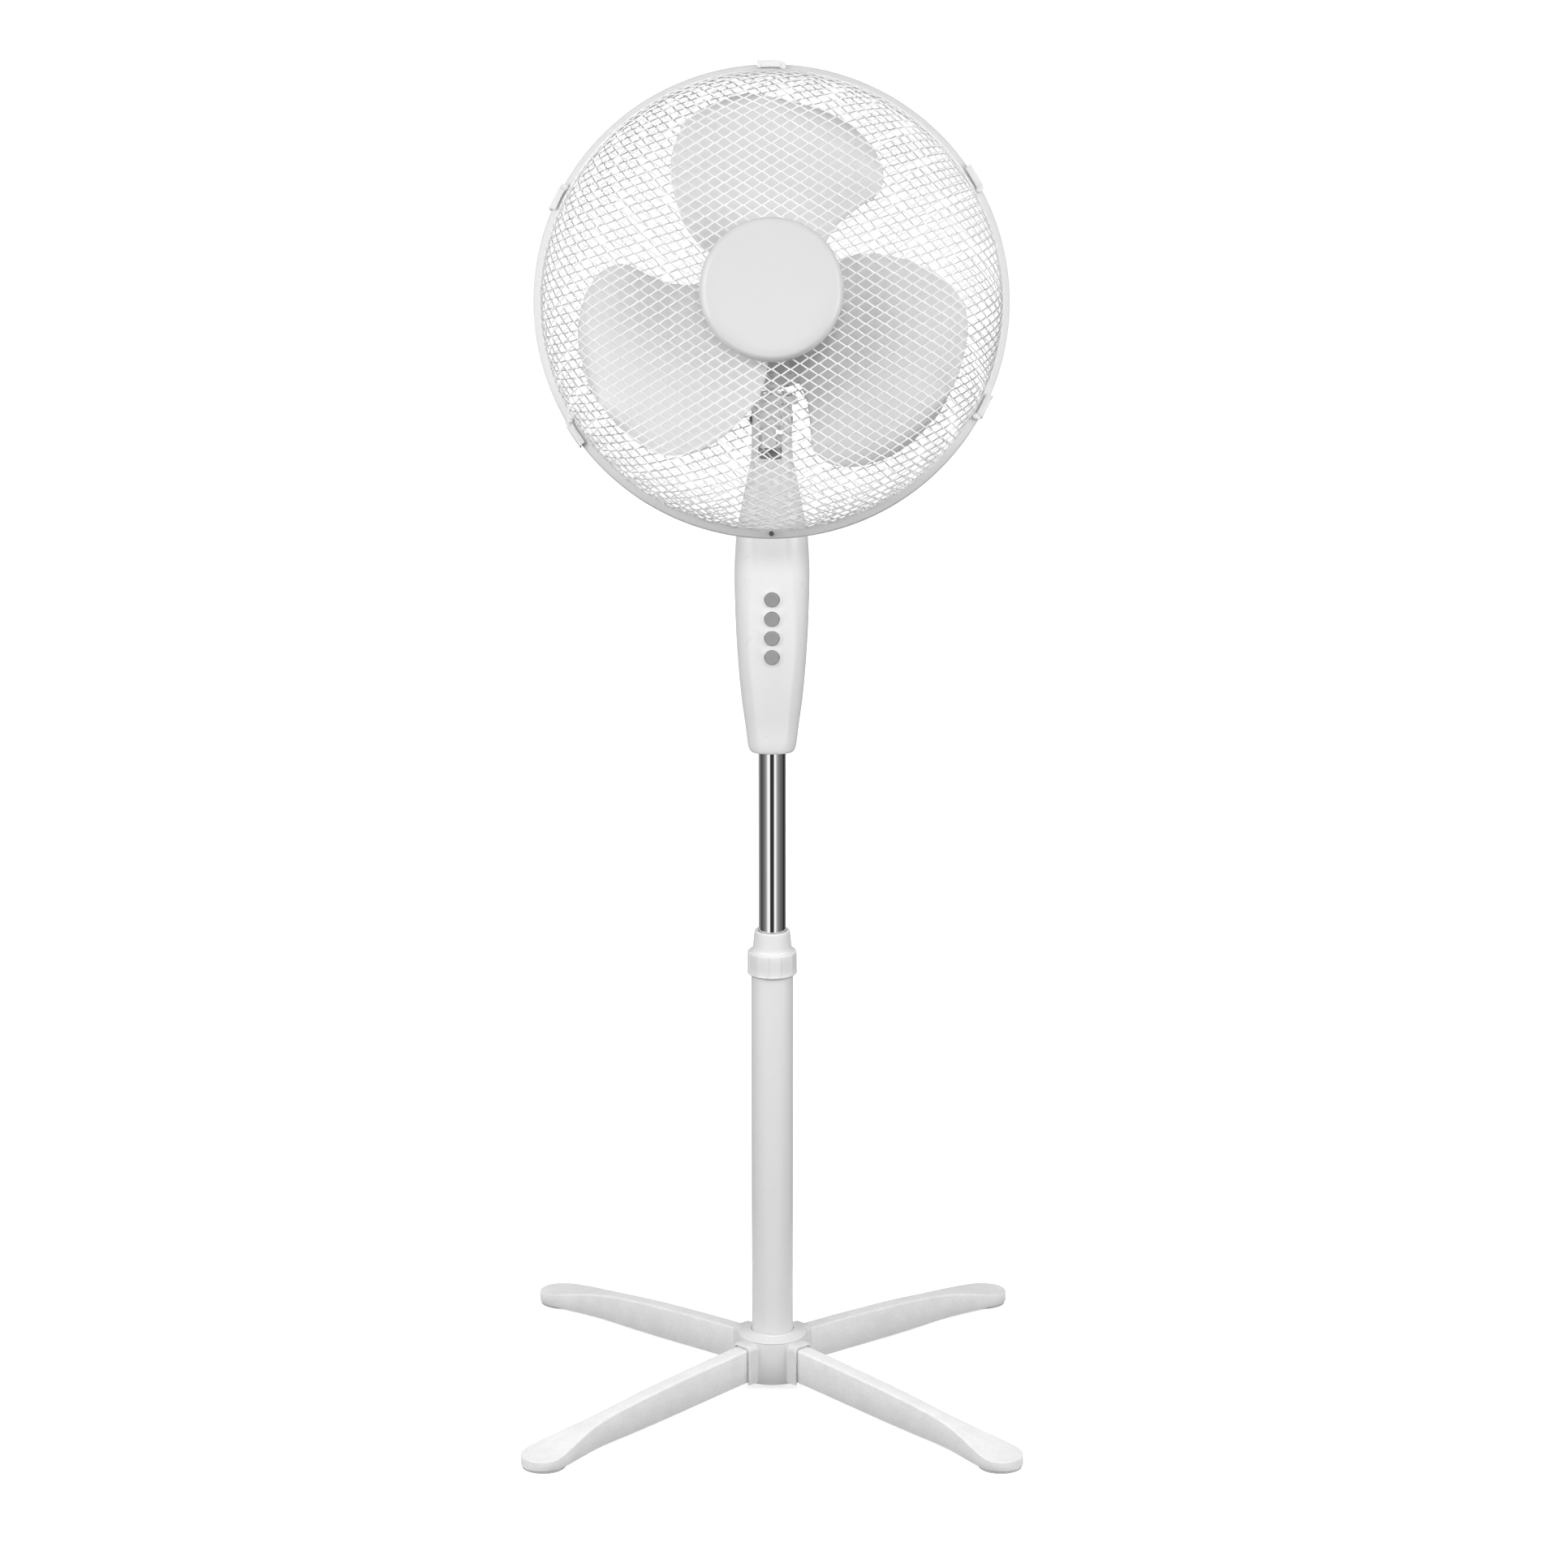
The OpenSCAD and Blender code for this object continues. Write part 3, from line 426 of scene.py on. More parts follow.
def studio():
    """Camera at the fan's front, dim sky, soft lamps, and a white floor that ends out of sight."""
    cam = bpy.data.cameras.new("camera")
    cam.lens = 126.19
    cam.sensor_width = 36.0
    cam.clip_end = 200.0
    obj = add_object("camera", cam)
    obj.location = (0.0104, -4.6331, 1.8525)
    obj.rotation_euler = (rad(74.4), 0, 0)
    bpy.context.scene.camera = obj

    world = bpy.data.worlds.new("studio")
    bpy.context.scene.world = world
    new, link = empty_tree(world)
    out, back = new("ShaderNodeOutputWorld"), new("ShaderNodeBackground")
    coord, split = new("ShaderNodeTexCoord"), new("ShaderNodeSeparateXYZ")
    height, ramp = new("ShaderNodeMapRange"), new("ShaderNodeValToRGB")
    # the sky is dim below the horizon and brighter above it
    height.inputs["From Min"].default_value = -1.0
    height.inputs["From Max"].default_value = 1.0
    link(coord.outputs["Generated"], split.inputs[0])
    link(split.outputs["Z"], height.inputs["Value"])
    link(height.outputs[0], ramp.inputs["Fac"])
    ramp.color_ramp.elements[0].position = 0.42
    ramp.color_ramp.elements[0].color = (0.06, 0.06, 0.06, 1)
    ramp.color_ramp.elements[1].position = 0.58
    ramp.color_ramp.elements[1].color = (0.4, 0.4, 0.4, 1)
    link(ramp.outputs[0], back.inputs["Color"])
    back.inputs["Strength"].default_value = 1.0
    link(back.outputs[0], out.inputs[0])

    def lamp(name, kind, strength, source, target=(0.0, 0.0, 0.5)):
        light = bpy.data.lights.new(name, kind)
        light.energy = strength
        obj = add_object(name, light)
        obj.location = source
        obj.rotation_euler = (Vector(source) - Vector(target)).to_track_quat("Z", "Y").to_euler()
        return light

    # name, watts, place and width of each lamp, in metres
    lamp("overhead_sun", "SUN", 0.1, (0, -0.8, 3)).angle = rad(70)
    for name, strength, x, y, z, size in (("softbox_left", 20.0, -1.5, -1.5, 1.7, 1.3),
                                          ("softbox_right", 14.5, 1.5, -1.5, 1.7, 1.3),
                                          ("side_left", 10.0, -2.0, -1.0, 0.9, 0.8),
                                          ("side_right", 12.0, 2.0, -1.0, 0.9, 0.8),
                                          ("front_fill", 28.0, 0.0, -3.2, 2.1, 0.5),
                                          ("back_fill", 15.0, 0.6, 3.2, 0.9, 0.8)):
        lamp(name, "AREA", strength, (x, y, z)).size = size
    spot = lamp("neck_fill", "SPOT", 95.0, (0.0, -3.0, 0.55), (0.0, 0.0, 0.865))
    spot.spot_size, spot.spot_blend, spot.shadow_soft_size = rad(5.6), 1.0, 0.1
    for name in ("front_fill", "back_fill", "neck_fill"):
        bpy.data.objects[name].visible_glossy = False

    square = [(-FLOOR, -FLOOR, 0), (FLOOR, -FLOOR, 0), (FLOOR, FLOOR, 0), (-FLOOR, FLOOR, 0)]
    ring = turned(Matrix(), [(BACKDROP_R, -0.5), (BACKDROP_R, 30.0)], 60, False)
    for name, shape, glow, unseen in (("floor", (Matrix(), square, [(0, 1, 2, 3)]), 0.68, ("diffuse",)),
                                      ("backdrop", ring, 1.0, ("diffuse", "glossy", "shadow"))):
        obj = add_object(name, joined(name, [shape]))
        obj.data.materials.append(surface(name + "_white", 0.97, 0.8, mottle=0.004, mottle_scale=2,
                                          grain=60, grain_depth=0.00002, glow=glow))
        for ray in unseen:
            setattr(obj, "visible_" + ray, False)


# What the chrome tube mirrors: azimuth from the front in degrees, brightness
CURTAIN = [(-180, 0.5), (-135, 0.4), (-108, 0.05), (-75, 0.14), (-52, 0.32), (-42, 0.72), (-30, 1.1),
           (-19, 1.0), (-15, 0.012), (0, 0.05), (13, 0.02), (18, 0.9), (27, 1.15), (36, 0.6), (50, 0.27),
           (75, 0.15), (95, 0.10), (115, 0.008), (150, 0.20), (180, 0.5)]
CURTAIN_R, CURTAIN_LOW, CURTAIN_TOP = 420.0, 10.0, 760.0


def curtain():
    """Ring of dark and bright cloth round the column that only mirror rays see."""
    cloth = turned(STAND, [(CURTAIN_R, CURTAIN_LOW), (CURTAIN_R, CURTAIN_TOP)], 96, False)
    obj = add_object("curtain", joined("curtain", [cloth]))
    m = bpy.data.materials.new("curtain_cloth")
    obj.data.materials.append(m)
    new, link = empty_tree(m)
    out, glow = new("ShaderNodeOutputMaterial"), new("ShaderNodeEmission")
    coord, split = new("ShaderNodeTexCoord"), new("ShaderNodeSeparateXYZ")
    link(coord.outputs["Object"], split.inputs[0])
    flip, angle, span = new("ShaderNodeMath"), new("ShaderNodeMath"), new("ShaderNodeMapRange")
    flip.operation = "MULTIPLY"
    flip.inputs[1].default_value = -1.0
    link(split.outputs["Y"], flip.inputs[0])
    angle.operation = "ARCTAN2"
    link(split.outputs["X"], angle.inputs[0])
    link(flip.outputs[0], angle.inputs[1])
    span.inputs["From Min"].default_value = -math.pi
    span.inputs["From Max"].default_value = math.pi
    link(angle.outputs[0], span.inputs["Value"])
    ramp = new("ShaderNodeValToRGB")
    link(span.outputs[0], ramp.inputs["Fac"])
    stops = ramp.color_ramp.elements
    while len(stops) < len(CURTAIN):
        stops.new(0.5)
    for stop, (azimuth, value) in zip(stops, CURTAIN):
        stop.position = (azimuth + 180) / 360
        stop.color = (value, value, value, 1)
    link(ramp.outputs[0], glow.inputs["Color"])
    link(glow.outputs[0], out.inputs[0])
    for ray in ("camera", "diffuse", "shadow", "transmission"):
        setattr(obj, "visible_" + ray, False)


bpy.context.scene.view_settings.view_transform = "Standard"
studio()
curtain()

# ---------------------------------------------------------------- carried-over CAD nodes
for node, obj in NODES.items():
    finish = FINISH.get(node)
    if finish is not None:
        obj.data.materials.clear()
        obj.data.materials.append(finish)
        if node in SOFT_EDGE:
            soften(obj, SOFT_EDGE[node])

# ---------------------------------------------------------------- base
LEG_ANGLES = {"leg_rear_right": 45, "leg_rear_left": 135, "leg_front_left": 225, "leg_front_right": 315}
# Side view of a leg: distance from the axis, height of the top
LEG_TOP = [(24, 42.7), (60, 40.5), (96, 38.1), (132, 35.3), (156, 33.3), (180, 30.7), (204, 27.8),
           (228, 24.1), (240, 21.8), (252, 19.1), (264, 16.2), (276, 13.6), (288, 12.0), (301, 11.4)]
# Plan of a leg: distance from the axis, half width
LEG_PLAN = [(200, 7.5), (216, 8.5), (228, 10.1), (240, 12.3), (252, 14.9), (264, 17.6), (274, 19.5),
            (280, 20)]
# Underside of a leg: distance from the axis, height
LEG_UNDER = [(24, 11.8), (108, 6.9), (156, 4.4), (204, 2.7), (236, 2.5)]
# Where a leg starts, and the foot's round end: its radius and the distance of its centre
LEG_ROOT, FOOT_R, FOOT_C = 30.0, 20.0, 280.0
LEG_WALL = 2.2


def leg_half(r):
    """Half width of a leg in plan."""
    if r > FOOT_C:
        return math.sqrt(max(0.0, FOOT_R**2 - (r - FOOT_C) ** 2))
    return curve(LEG_PLAN, r, 1)


def leg_bottom(r):
    """Height of a leg's underside."""
    return curve(LEG_UNDER, r, 1)


def leg_shape(where):
    """Hollow-bottomed leg: a rounded top edge, upright sides and a channel underneath."""
    stations = [LEG_ROOT + (FOOT_C - LEG_ROOT) * k / 70 for k in range(71)]
    stations += [FOOT_C + FOOT_R * math.sin(rad(a)) for a in (6, 12, 18, 24, 30, 36, 42, 48, 54, 60, 66,
                                                             71, 75, 79, 82, 85, 87.5, 89.3)]

    def outline(r):
        w, zb = leg_half(r), leg_bottom(r)
        # the top edge is rounded less at the foot
        edge = 1.7 - 0.9 * step(232, 272, r)

        def top(x):
            gap = FOOT_R - math.hypot(r - FOOT_C, x) if r > FOOT_C else w - abs(x)
            gap = min(edge, max(0.0, gap))
            crown = 0.35 * (1 - (abs(x) / max(w, 0.1)) ** 2)
            return curve(LEG_TOP, r, 1) - edge + math.sqrt(edge**2 - (edge - gap) ** 2) + crown - 0.3

        half = [max(0.0, w - inset) for inset in (0.0, 0.12, 0.3, 0.55, 0.8, 1.15, 1.6, 2.4, 4.0)]
        upper = [(r, x, top(x)) for x in half]
        ring = [(r, -x, z) for _, x, z in upper] + [(r, x, z) for _, x, z in reversed(upper)]
        thin = max(0.0, w - LEG_WALL)
        deep = zb + 0.1
        if r > LEG_ROOT + 4:
            deep = zb + 1.0 + min(9.0, max(0.0, curve(LEG_TOP, r, 1) - zb - 5))
        under = [(w, zb + 0.6), (max(0.0, w - 0.4), zb), (thin, zb), (max(0.0, thin - 0.3), deep)]
        return ring + [(r, x, z) for x, z in under] + [(r, -x, z) for x, z in reversed(under)]

    return skin(where, [outline(r) for r in stations])


for node, angle in LEG_ANGLES.items():
    piece(node + "_shell", [leg_shape(STAND @ turn(angle))], "stand", LEG, (node,), crease=50)


# The opening of a leg socket: half width, height of its top; and the height of the hub
SOCKET_HALF, SOCKET_TOP, HUB_TOP = 8.1, 42.6, 45.9


def socket_bead(where):
    """Inverted U round a leg socket: a bead with a round front, open at the bottom."""
    # the bead's section: distance out from the opening, distance from the fan's axis
    section = [(0.0, 26.0), (0.0, 38.2), (0.25, 39.0), (0.8, 39.6), (1.5, 39.75), (2.2, 39.55),
               (2.7, 39.0), (2.95, 38.2), (3.0, 37.0), (3.0, 26.0)]
    half, top, low, rounding = SOCKET_HALF, SOCKET_TOP, 9.6, 2.6
    path = [(-half, low, -1, 0), (-half, top - rounding, -1, 0)]
    for k in range(1, 8):
        a = rad(180 - 90 * k / 8)
        path.append((-half + rounding + rounding * math.cos(a), top - rounding + rounding * math.sin(a),
                     math.cos(a), math.sin(a)))
    path.append((-half + rounding, top, 0, 1))
    path += [(-x, z, -nx, nz) for x, z, nx, nz in reversed(path)]
    rings = []
    for x, z, nx, nz in path:
        rings.append([(d, x + nx * o, z + nz * min(o, HUB_TOP - z if nz > 0 else o)) for o, d in section])
    return skin(where, rings)


def hub():
    """Round body with a blind bore for the pole and an opening for each leg."""
    body = turned(STAND, [(18.6, 15.6), (18.6, HUB_TOP), (30.2, HUB_TOP), (30.7, 45.5), (30.8, 44.8),
                          (31.4, 8.6), (31.0, 8.0), (20.0, 8.0), (19.0, 9.6), (5.2, 9.6),
                          (5.2, 15.6)], 160)
    slots = [block(STAND @ turn(a), (25, -SOCKET_HALF, 5), (60, SOCKET_HALF, SOCKET_TOP))
             for a in LEG_ANGLES.values()]
    piece("hub_shell", [body], "stand", SHADED_HUB, ("base_hub",), cutters=[slots], bevel=0.4)


hub()
piece("hub_socket_beads", [socket_bead(STAND @ turn(a)) for a in LEG_ANGLES.values()], "stand", SHADED_HUB,
      ("base_hub",), crease=42)

flange = fillet([(18.5, 46.0, 0), (30.2, 46.0, 0), (30.8, 46.6, 0.4), (30.7, 47.5, 0.5), (29.8, 48.0, 0.5),
                 (20.9, 50.2, 0.8), (20.4, 51.2, 0.35), (19.2, 51.2, 0.4), (18.5, 50.2, 0)])
piece("flange_ring", [turned(STAND, flange, 144)], "stand", FLANGE, ("pole_flange",))

# ---------------------------------------------------------------- column
piece("pole", [turned(STAND, [(18.5, 15.6), (18.5, 387.4), (18.2, 388.0), (17.3, 388.0),
                              (17.3, 15.6)], 144)],
      "stand", POLE, ("lower_tube",))
piece("inner_pole", [turned(STAND, [(12.0, 215.4), (12.0, 647.6), (11.6, 648.0), (10.8, 648.0),
                                    (10.8, 215.0), (11.6, 215.0)], 144)],
      "column", CHROME, ("upper_tube",))


def collar():
    """Clamp nut: twelve flat facets with a small step between them, a lip below, a cone above."""
    rows = [(20.9, 386.0, 0), (21.6, 386.35, 0), (21.95, 386.9, 0), (22.0, 387.6, 0.1),
            (21.9, 388.1, 0.7), (21.85, 388.6, 1), (21.85, 394.5, 1), (21.85, 400.5, 1),
            (21.8, 405.3, 1), (21.6, 406.1, 0.95), (21.1, 406.6, 0.8), (20.3, 406.8, 0.6),
            (19.0, 406.9, 0.2), (17.7, 406.95, 0), (17.4, 407.3, 0), (17.05, 411.0, 0),
            (16.45, 417.0, 0), (15.75, 423.5, 0), (15.55, 424.8, 0), (15.2, 425.4, 0), (14.7, 425.7, 0),
            (13.2, 425.6, 0), (12.4, 425.2, 0), (12.35, 420.0, 0), (12.5, 403.5, 0), (18.9, 403.5, 0),
            (18.9, 386.2, 0), (19.4, 386.0, 0)]

    width, flatness, rim = 30, 0.55, 22

    def radius(r, facet, a):
        u = (a + 9) % width
        flat = math.cos(rad(width / 2)) / math.cos(rad(u - width / 2)) - 1
        groove = -0.75 * math.exp(-((u - 1.3) / 0.9) ** 2)
        rise = 0.22 * math.exp(-((u - 29) / 1.6) ** 2)
        return r + facet * (flat * flatness * rim + groove + rise)

    return fluted(STAND, rows, 360, radius)


piece("collar_shell", [collar()], "collar", COLLAR, ("collar_nut",), crease=55)

# ---------------------------------------------------------------- control box
# Height of the underside, of the tilt pivot and of the box itself, and where its halves meet
BOX_Z, PIVOT_Z, BOX_H, SPLIT = 590.0, 885.0, 307, 4.0
# Radius of the fork ears, power of the squarish ellipse, radius of the lower edge
EAR_R, SQUARE, LIP = 12.0, 2.75, 1.6
# The lowest button's height, and the fork's slot: its middle and width
BUTTON_R, BUTTON_Z, BUTTON_PITCH = 6.25, 680.7, 17.3
BUTTON_ZS = [BUTTON_Z + k * BUTTON_PITCH for k in range(4)]
SLOT_X, SLOT_W = -1.5, 20.0
# Height above the underside, half width, front depth, rear depth
BOX_ROWS = [(0, 19.2, 17.5, 17), (4, 20.9, 18.6, 18), (22, 23.2, 21, 20.5), (48, 26.7, 25, 24),
            (75, 29.2, 28.6, 27), (101, 30.9, 31.2, 29), (127, 32, 32.6, 30.2), (157, 32.6, 33, 30.6),
            (188, 31.2, 30.6, 29), (207, 28.4, 27.6, 26.6), (220, 25.8, 25.2, 24.2), (241, 22, 21.4, 20.4),
            (259, 18.5, 18.2, 17.2), (270, 17.7, 17, 16), (283, 17.5, 15.4, 14.6), (307, 17.4, 13, 12.4)]
# Height above the underside, half width of the front panel
PANEL_ROWS = [(0, 10.5), (20, 11.5), (40, 12.5), (60, 14.5), (85, 17.4), (107, 18.4), (130, 17.6),
              (155, 15.5), (185, 14.0), (215, 12.5), (250, 11.0), (307, 10.5)]


# The front's relief: depth of the panel, height of the ridges beside it, depth of the dimples
# at a button's sides, height of the rim round it
PANEL_DEPTH, RIDGE_H, DIMPLE_DEPTH, RIM_H = 0.85, 0.35, 0.75, 0.55


def box_ring(z, grow, plain):
    """Outline of the box at height z. Each quarter is a squarish ellipse; the front has a
    shallow panel between two soft ridges, and dimples beside the buttons."""
    h = min(max(z - BOX_Z, 0), BOX_H)
    w = curve(BOX_ROWS, h, 1) + grow
    front, rear = curve(BOX_ROWS, h, 2) + grow, curve(BOX_ROWS, h, 3) + grow
    panel = curve(PANEL_ROWS, h, 1)
    over = max(0.0, z - PIVOT_Z)
    if z > PIVOT_Z - 14:
        # the fork ears end in half rounds about the tilt pivot
        r = EAR_R + grow
        dome = math.sqrt(max(0.0, r * r - over * over))
        t = step(PIVOT_Z - 14, PIVOT_Z, z)
        front = front * (1 - t) + dome * t
        rear = rear * (1 - t) + dome * t
    ring, count = [], 112
    for k in range(count):
        a = 2 * math.pi * k / count
        depth = front if math.sin(a) < 0 else rear
        c, s = math.cos(a), math.sin(a)
        reach = (abs(c) ** SQUARE + abs(s) ** SQUARE) ** (-1 / SQUARE)
        x, y = w * c * reach, depth * s * reach
        if y < 0 and not plain:
            on = step(2, 26, h) * (1 - step(225, 262, h))
            inside = step(panel + 2.6, panel - 2.2, abs(x)) if abs(x) < w - 2 else 0
            ridge = math.exp(-((abs(x) - panel - 2.4) / 2.6) ** 2)
            y += on * (PANEL_DEPTH * inside - RIDGE_H * ridge)
            for zc in BUTTON_ZS:
                d = math.hypot(x, z - zc)
                level = math.exp(-((z - zc) / 5.4) ** 2)
                y += DIMPLE_DEPTH * level * math.exp(-((abs(x) - 10.0) / 3.6) ** 2)
                y -= RIM_H * step(9.2, 7.6, d) * step(5.4, 6.6, d)
        ring.append((x, y, z))
    return ring


def box_solid(grow, z0, z1, plain, rows):
    """The box between two heights. Plain: without the front's relief and the rounded lip."""
    zs = [z0 + (z1 - z0) * k / rows for k in range(rows + 1)]
    if not plain:
        zs = [BOX_Z, BOX_Z + 0.35, BOX_Z + 0.9] + [z for z in zs if z > BOX_Z + 1.2]
    rings = []
    for z in zs:
        inset = 0.0
        if not plain:
            low = min(LIP, max(0.0, z - BOX_Z))
            inset = LIP - math.sqrt(max(0.0, LIP**2 - (LIP - low) ** 2))
        rings.append(box_ring(z, grow - inset, plain))
    return skin(STAND, rings)


def box_cutters():
    """Groups of cutters: the tube's bore, the fork's slot, the buttons, the box screws, the cord
    inlet, the tube screw, the seats of the tilt bolt's head and nut, and the bolt's bore."""
    x0, x1 = SLOT_X - SLOT_W / 2, SLOT_X + SLOT_W / 2
    fork = [block(STAND, (x0, -14.8, BOX_Z + 250), (x1, 13.2, 930)),
            block(STAND, (x0, -40, 853), (x1, -10, 930)), block(STAND, (x0, 0, 868), (x1, 40, 930))]

    def bore(x, y, z, way, r, z0, z1, sides=32):
        return disc(STAND @ move(x, y, z) @ way, r, z0, z1, sides)

    back, across = turn(-90, "X"), turn(90, "Y")
    holes = [bore(0, -50, z, back, BUTTON_R + 0.4, 0, 35, 48) for z in BUTTON_ZS]
    screws = [bore(0, 0, BOX_Z + h, back, 3.2, SPLIT + 4, 45) for h in (67, 212)]
    return [[disc(STAND, 14.7, BOX_Z - 5, BOX_Z + 20, 72)], *[[f] for f in fork], holes, screws,
            [bore(0, 0, BOX_Z + 52, back, 4.6, 10, 45)], [bore(0, 0, BOX_Z + 30, back, 4.3, 10, 45)],
            [bore(-21, 0, PIVOT_Z, across, 5.3, 0, 5.4)], [bore(16, 0, PIVOT_Z, across, 5.3, 0, 6)],
            [bore(-30, 0, PIVOT_Z, across, 3.1, 0, 60)]]


def box_half(name, node, front):
    """Front or rear shell, 2.4 mm thick, with a hairline between the two."""
    if front:
        other = block(STAND, (-60, SPLIT - 0.12, 500), (60, 80, 950))
    else:
        other = block(STAND, (-60, -80, 500), (60, SPLIT + 0.12, 950))
    inner = box_solid(-2.4, BOX_Z + 2.4, BOX_Z + 252, True, 60)
    piece(name, [box_solid(0.0, BOX_Z, 897, False, 150)], "column", WHITE, (node,),
          cutters=[[other], [inner]] + box_cutters(), crease=40)


box_half("box_front", "box_front_shell", True)
box_half("box_rear", "box_rear_shell", False)


def button(z, y0):
    """Round button with a shallow dish and a stem; its face is at y0."""
    cap = fillet([(0, 0.35, 0), (4.4, 0.12, 2), (5.6, 0.05, 0.5), (BUTTON_R, 0.35, 0.55),
                  (BUTTON_R, 5.6, 0.2), (2.5, 5.6, 0), (2.5, 12.0, 0), (0, 12.0, 0)])
    return turned(STAND @ move(0, y0, z) @ turn(-90, "X"), cap, 72, False)


for k in range(4):
    low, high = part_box("button_%d" % (k + 1))
    piece("button_%d_cap" % (k + 1), [button((low.z + high.z) * 500, low.y * 1000)],
          "button_%d" % (k + 1), BUTTON, ("button_%d" % (k + 1),), crease=45)

# ---------------------------------------------------------------- motor housing
# Places of the rear cover's screws, across and up
SCREWS = ((-12, -18), (24, 8))

front_cover = fillet([(55.4, -20.1, 0), (57.9, -20.1, 0.5), (58.0, -21.4, 0.6), (58.0, -50.4, 3.0),
                      (55.2, -52.9, 2.0), (20.0, -52.9, 0.3), (20.0, -61.6, 0.8), (13.0, -62.0, 0.3),
                      (13.0, -50.5, 0), (55.4, -50.5, 1.0)])
piece("motor_front", [turned(HEAD @ along(0), front_cover, 144)], "head", WHITE,
      ("motor_front_cover",))


def rear_cover():
    """Domed cover with a ring of air slots in its shoulder and a group of bars in its back."""
    outline = [(55.4, -19.9), (57.7, -19.9), (58.0, -19.5), (58.0, -10), (58.0, 2), (57.9, 10), (57.7, 20),
               (57.2, 31), (56.3, 42), (54.6, 51.5), (52.2, 58.6), (48.8, 64.2), (44.2, 68.6),
               (38.0, 71.8), (29.0, 73.9), (18.0, 74.8), (8.0, 75.0), (0.0, 75.0), (0.0, 72.6),
               (18.0, 72.4), (28.6, 71.4), (36.8, 69.4), (42.6, 66.4), (46.8, 62.4), (49.9, 57.2),
               (52.1, 50.6), (53.8, 41.6), (54.7, 31), (55.3, 20), (55.5, 2)]
    shell = turned(HEAD @ along(0), outline, 160)

    def oblong(x):
        return fillet([(-x, -1.2, 1.15), (x, -1.2, 1.15), (x, 1.2, 1.15), (-x, 1.2, 1.15)], 3)

    # forty slots, left out round the knob
    slots = [prism(HEAD @ along(0) @ turn(-9 * k - 4.5) @ move(0, 0, 24) @ turn(90, "Y"),
                   oblong(8.5), 45, 70) for k in range(40) if not 60 < 9 * k + 4.5 < 90]
    # nine bars, left out at the screws
    pitch = 6.2
    bars = [prism(HEAD @ along(60) @ move(0, pitch * k, 0), oblong(26 - k * k * 0.55), 0, 30)
            for k in range(-4, 5) if all(abs(z + pitch * k) > 6 for x, z in SCREWS)]
    holes = [disc(HEAD @ along(70.5) @ move(x, -z, 0), 3.3, 0, 20, 32) for x, z in SCREWS]
    holes += [disc(HEAD @ move(16, 34, 40), 3.2, 0, 60, 32), disc(HEAD @ move(0, 46, -70), 3.2, 0, 30, 32),
              disc(HEAD @ move(0, 0, -70), 5.2, 0, 30, 48)]
    return shell, slots, bars, holes


shell, slots, bars, holes = rear_cover()
piece("motor_rear", [shell], "head", WHITE, ("motor_rear_cover",),
      cutters=[slots, bars, holes], crease=34)
piece("motor_neck", [turned(HEAD, [(5.2, -61), (8.6, -61), (9.0, -60.6), (9.0, -46), (5.2, -46)], 72)],
      "head", WHITE, ("motor_rear_cover",))
piece("motor_bosses", [turned(HEAD @ along(66) @ move(x, -z, 0),
                              [(1.7, 0), (4.5, 0), (4.5, 7), (3.2, 7), (3.2, 5.5), (1.7, 5.5)], 40)
                       for x, z in SCREWS], "head", WHITE, ("motor_rear_cover",))


def knob():
    """Pull knob with fifteen flutes round its rim; its open end is inside the housing."""
    rows = [(6.7, 58.5, 0), (7.0, 58.9, 0), (7.0, 70.0, 0), (7.6, 70.6, 0), (8.3, 71.0, 0.6),
            (8.55, 71.8, 1), (8.1, 74.0, 1), (7.6, 75.0, 0.5), (6.9, 75.5, 0), (5.5, 75.3, 0),
            (3.0, 74.8, 0), (0.0, 74.7, 0)]
    where, verts, faces = fluted(HEAD @ move(16, 34, 0), rows, 120,
                                 lambda r, flute, a: r + flute * 0.28 * (math.cos(rad(15 * a)) - 1), False)
    return where, verts, faces + [tuple(range(120))[::-1]]


piece("knob_shell", [knob(), disc(HEAD @ move(16, 34, 0), 3, 9, 58.5, 40)],
      "knob", WHITE, ("oscillation_knob",), crease=45)

# ---------------------------------------------------------------- guards
# Radius of the guards' flat part, inner radius of the hoop, distance of its joint ahead of the axis
FLAT_R, HOOP_IN, HOOP_Y = 148.0, 193.0, 112.3
SHOULDER = HOOP_IN + 0.6 - FLAT_R
# Half width and half height of a diamond, half length of the knot at its corners
MESH_A, MESH_B, KNOT = 7.8, 4.7, 0.55
# Half width and half thickness of a strand
STRAND_W, STRAND_T = 0.52, 0.33


def shoulder_length(depth):
    """Length of a guard's shoulder along its curve."""
    return math.pi / 2 * math.sqrt((SHOULDER**2 + depth**2) / 2)


def dome(uv, depth, plane, side):
    """Points and outward normals of a guard at the arc coordinates uv, in millimetres."""
    s = np.maximum(np.hypot(uv[:, 0], uv[:, 1]), 1e-6)
    t = np.clip((s - FLAT_R) / shoulder_length(depth), 0, 1) * math.pi / 2
    r = np.where(s < FLAT_R, s, FLAT_R + SHOULDER * np.sin(t))
    d = depth * (1 - np.cos(t))
    nr, ny = depth * np.sin(t), SHOULDER * np.cos(t)
    n = np.hypot(nr, ny)
    cu, cv = uv[:, 0] / s, uv[:, 1] / s
    p = np.stack([r * cu, plane + side * d, r * cv], 1)
    return p, np.stack([nr / n * cu, -side * ny / n, nr / n * cv], 1)


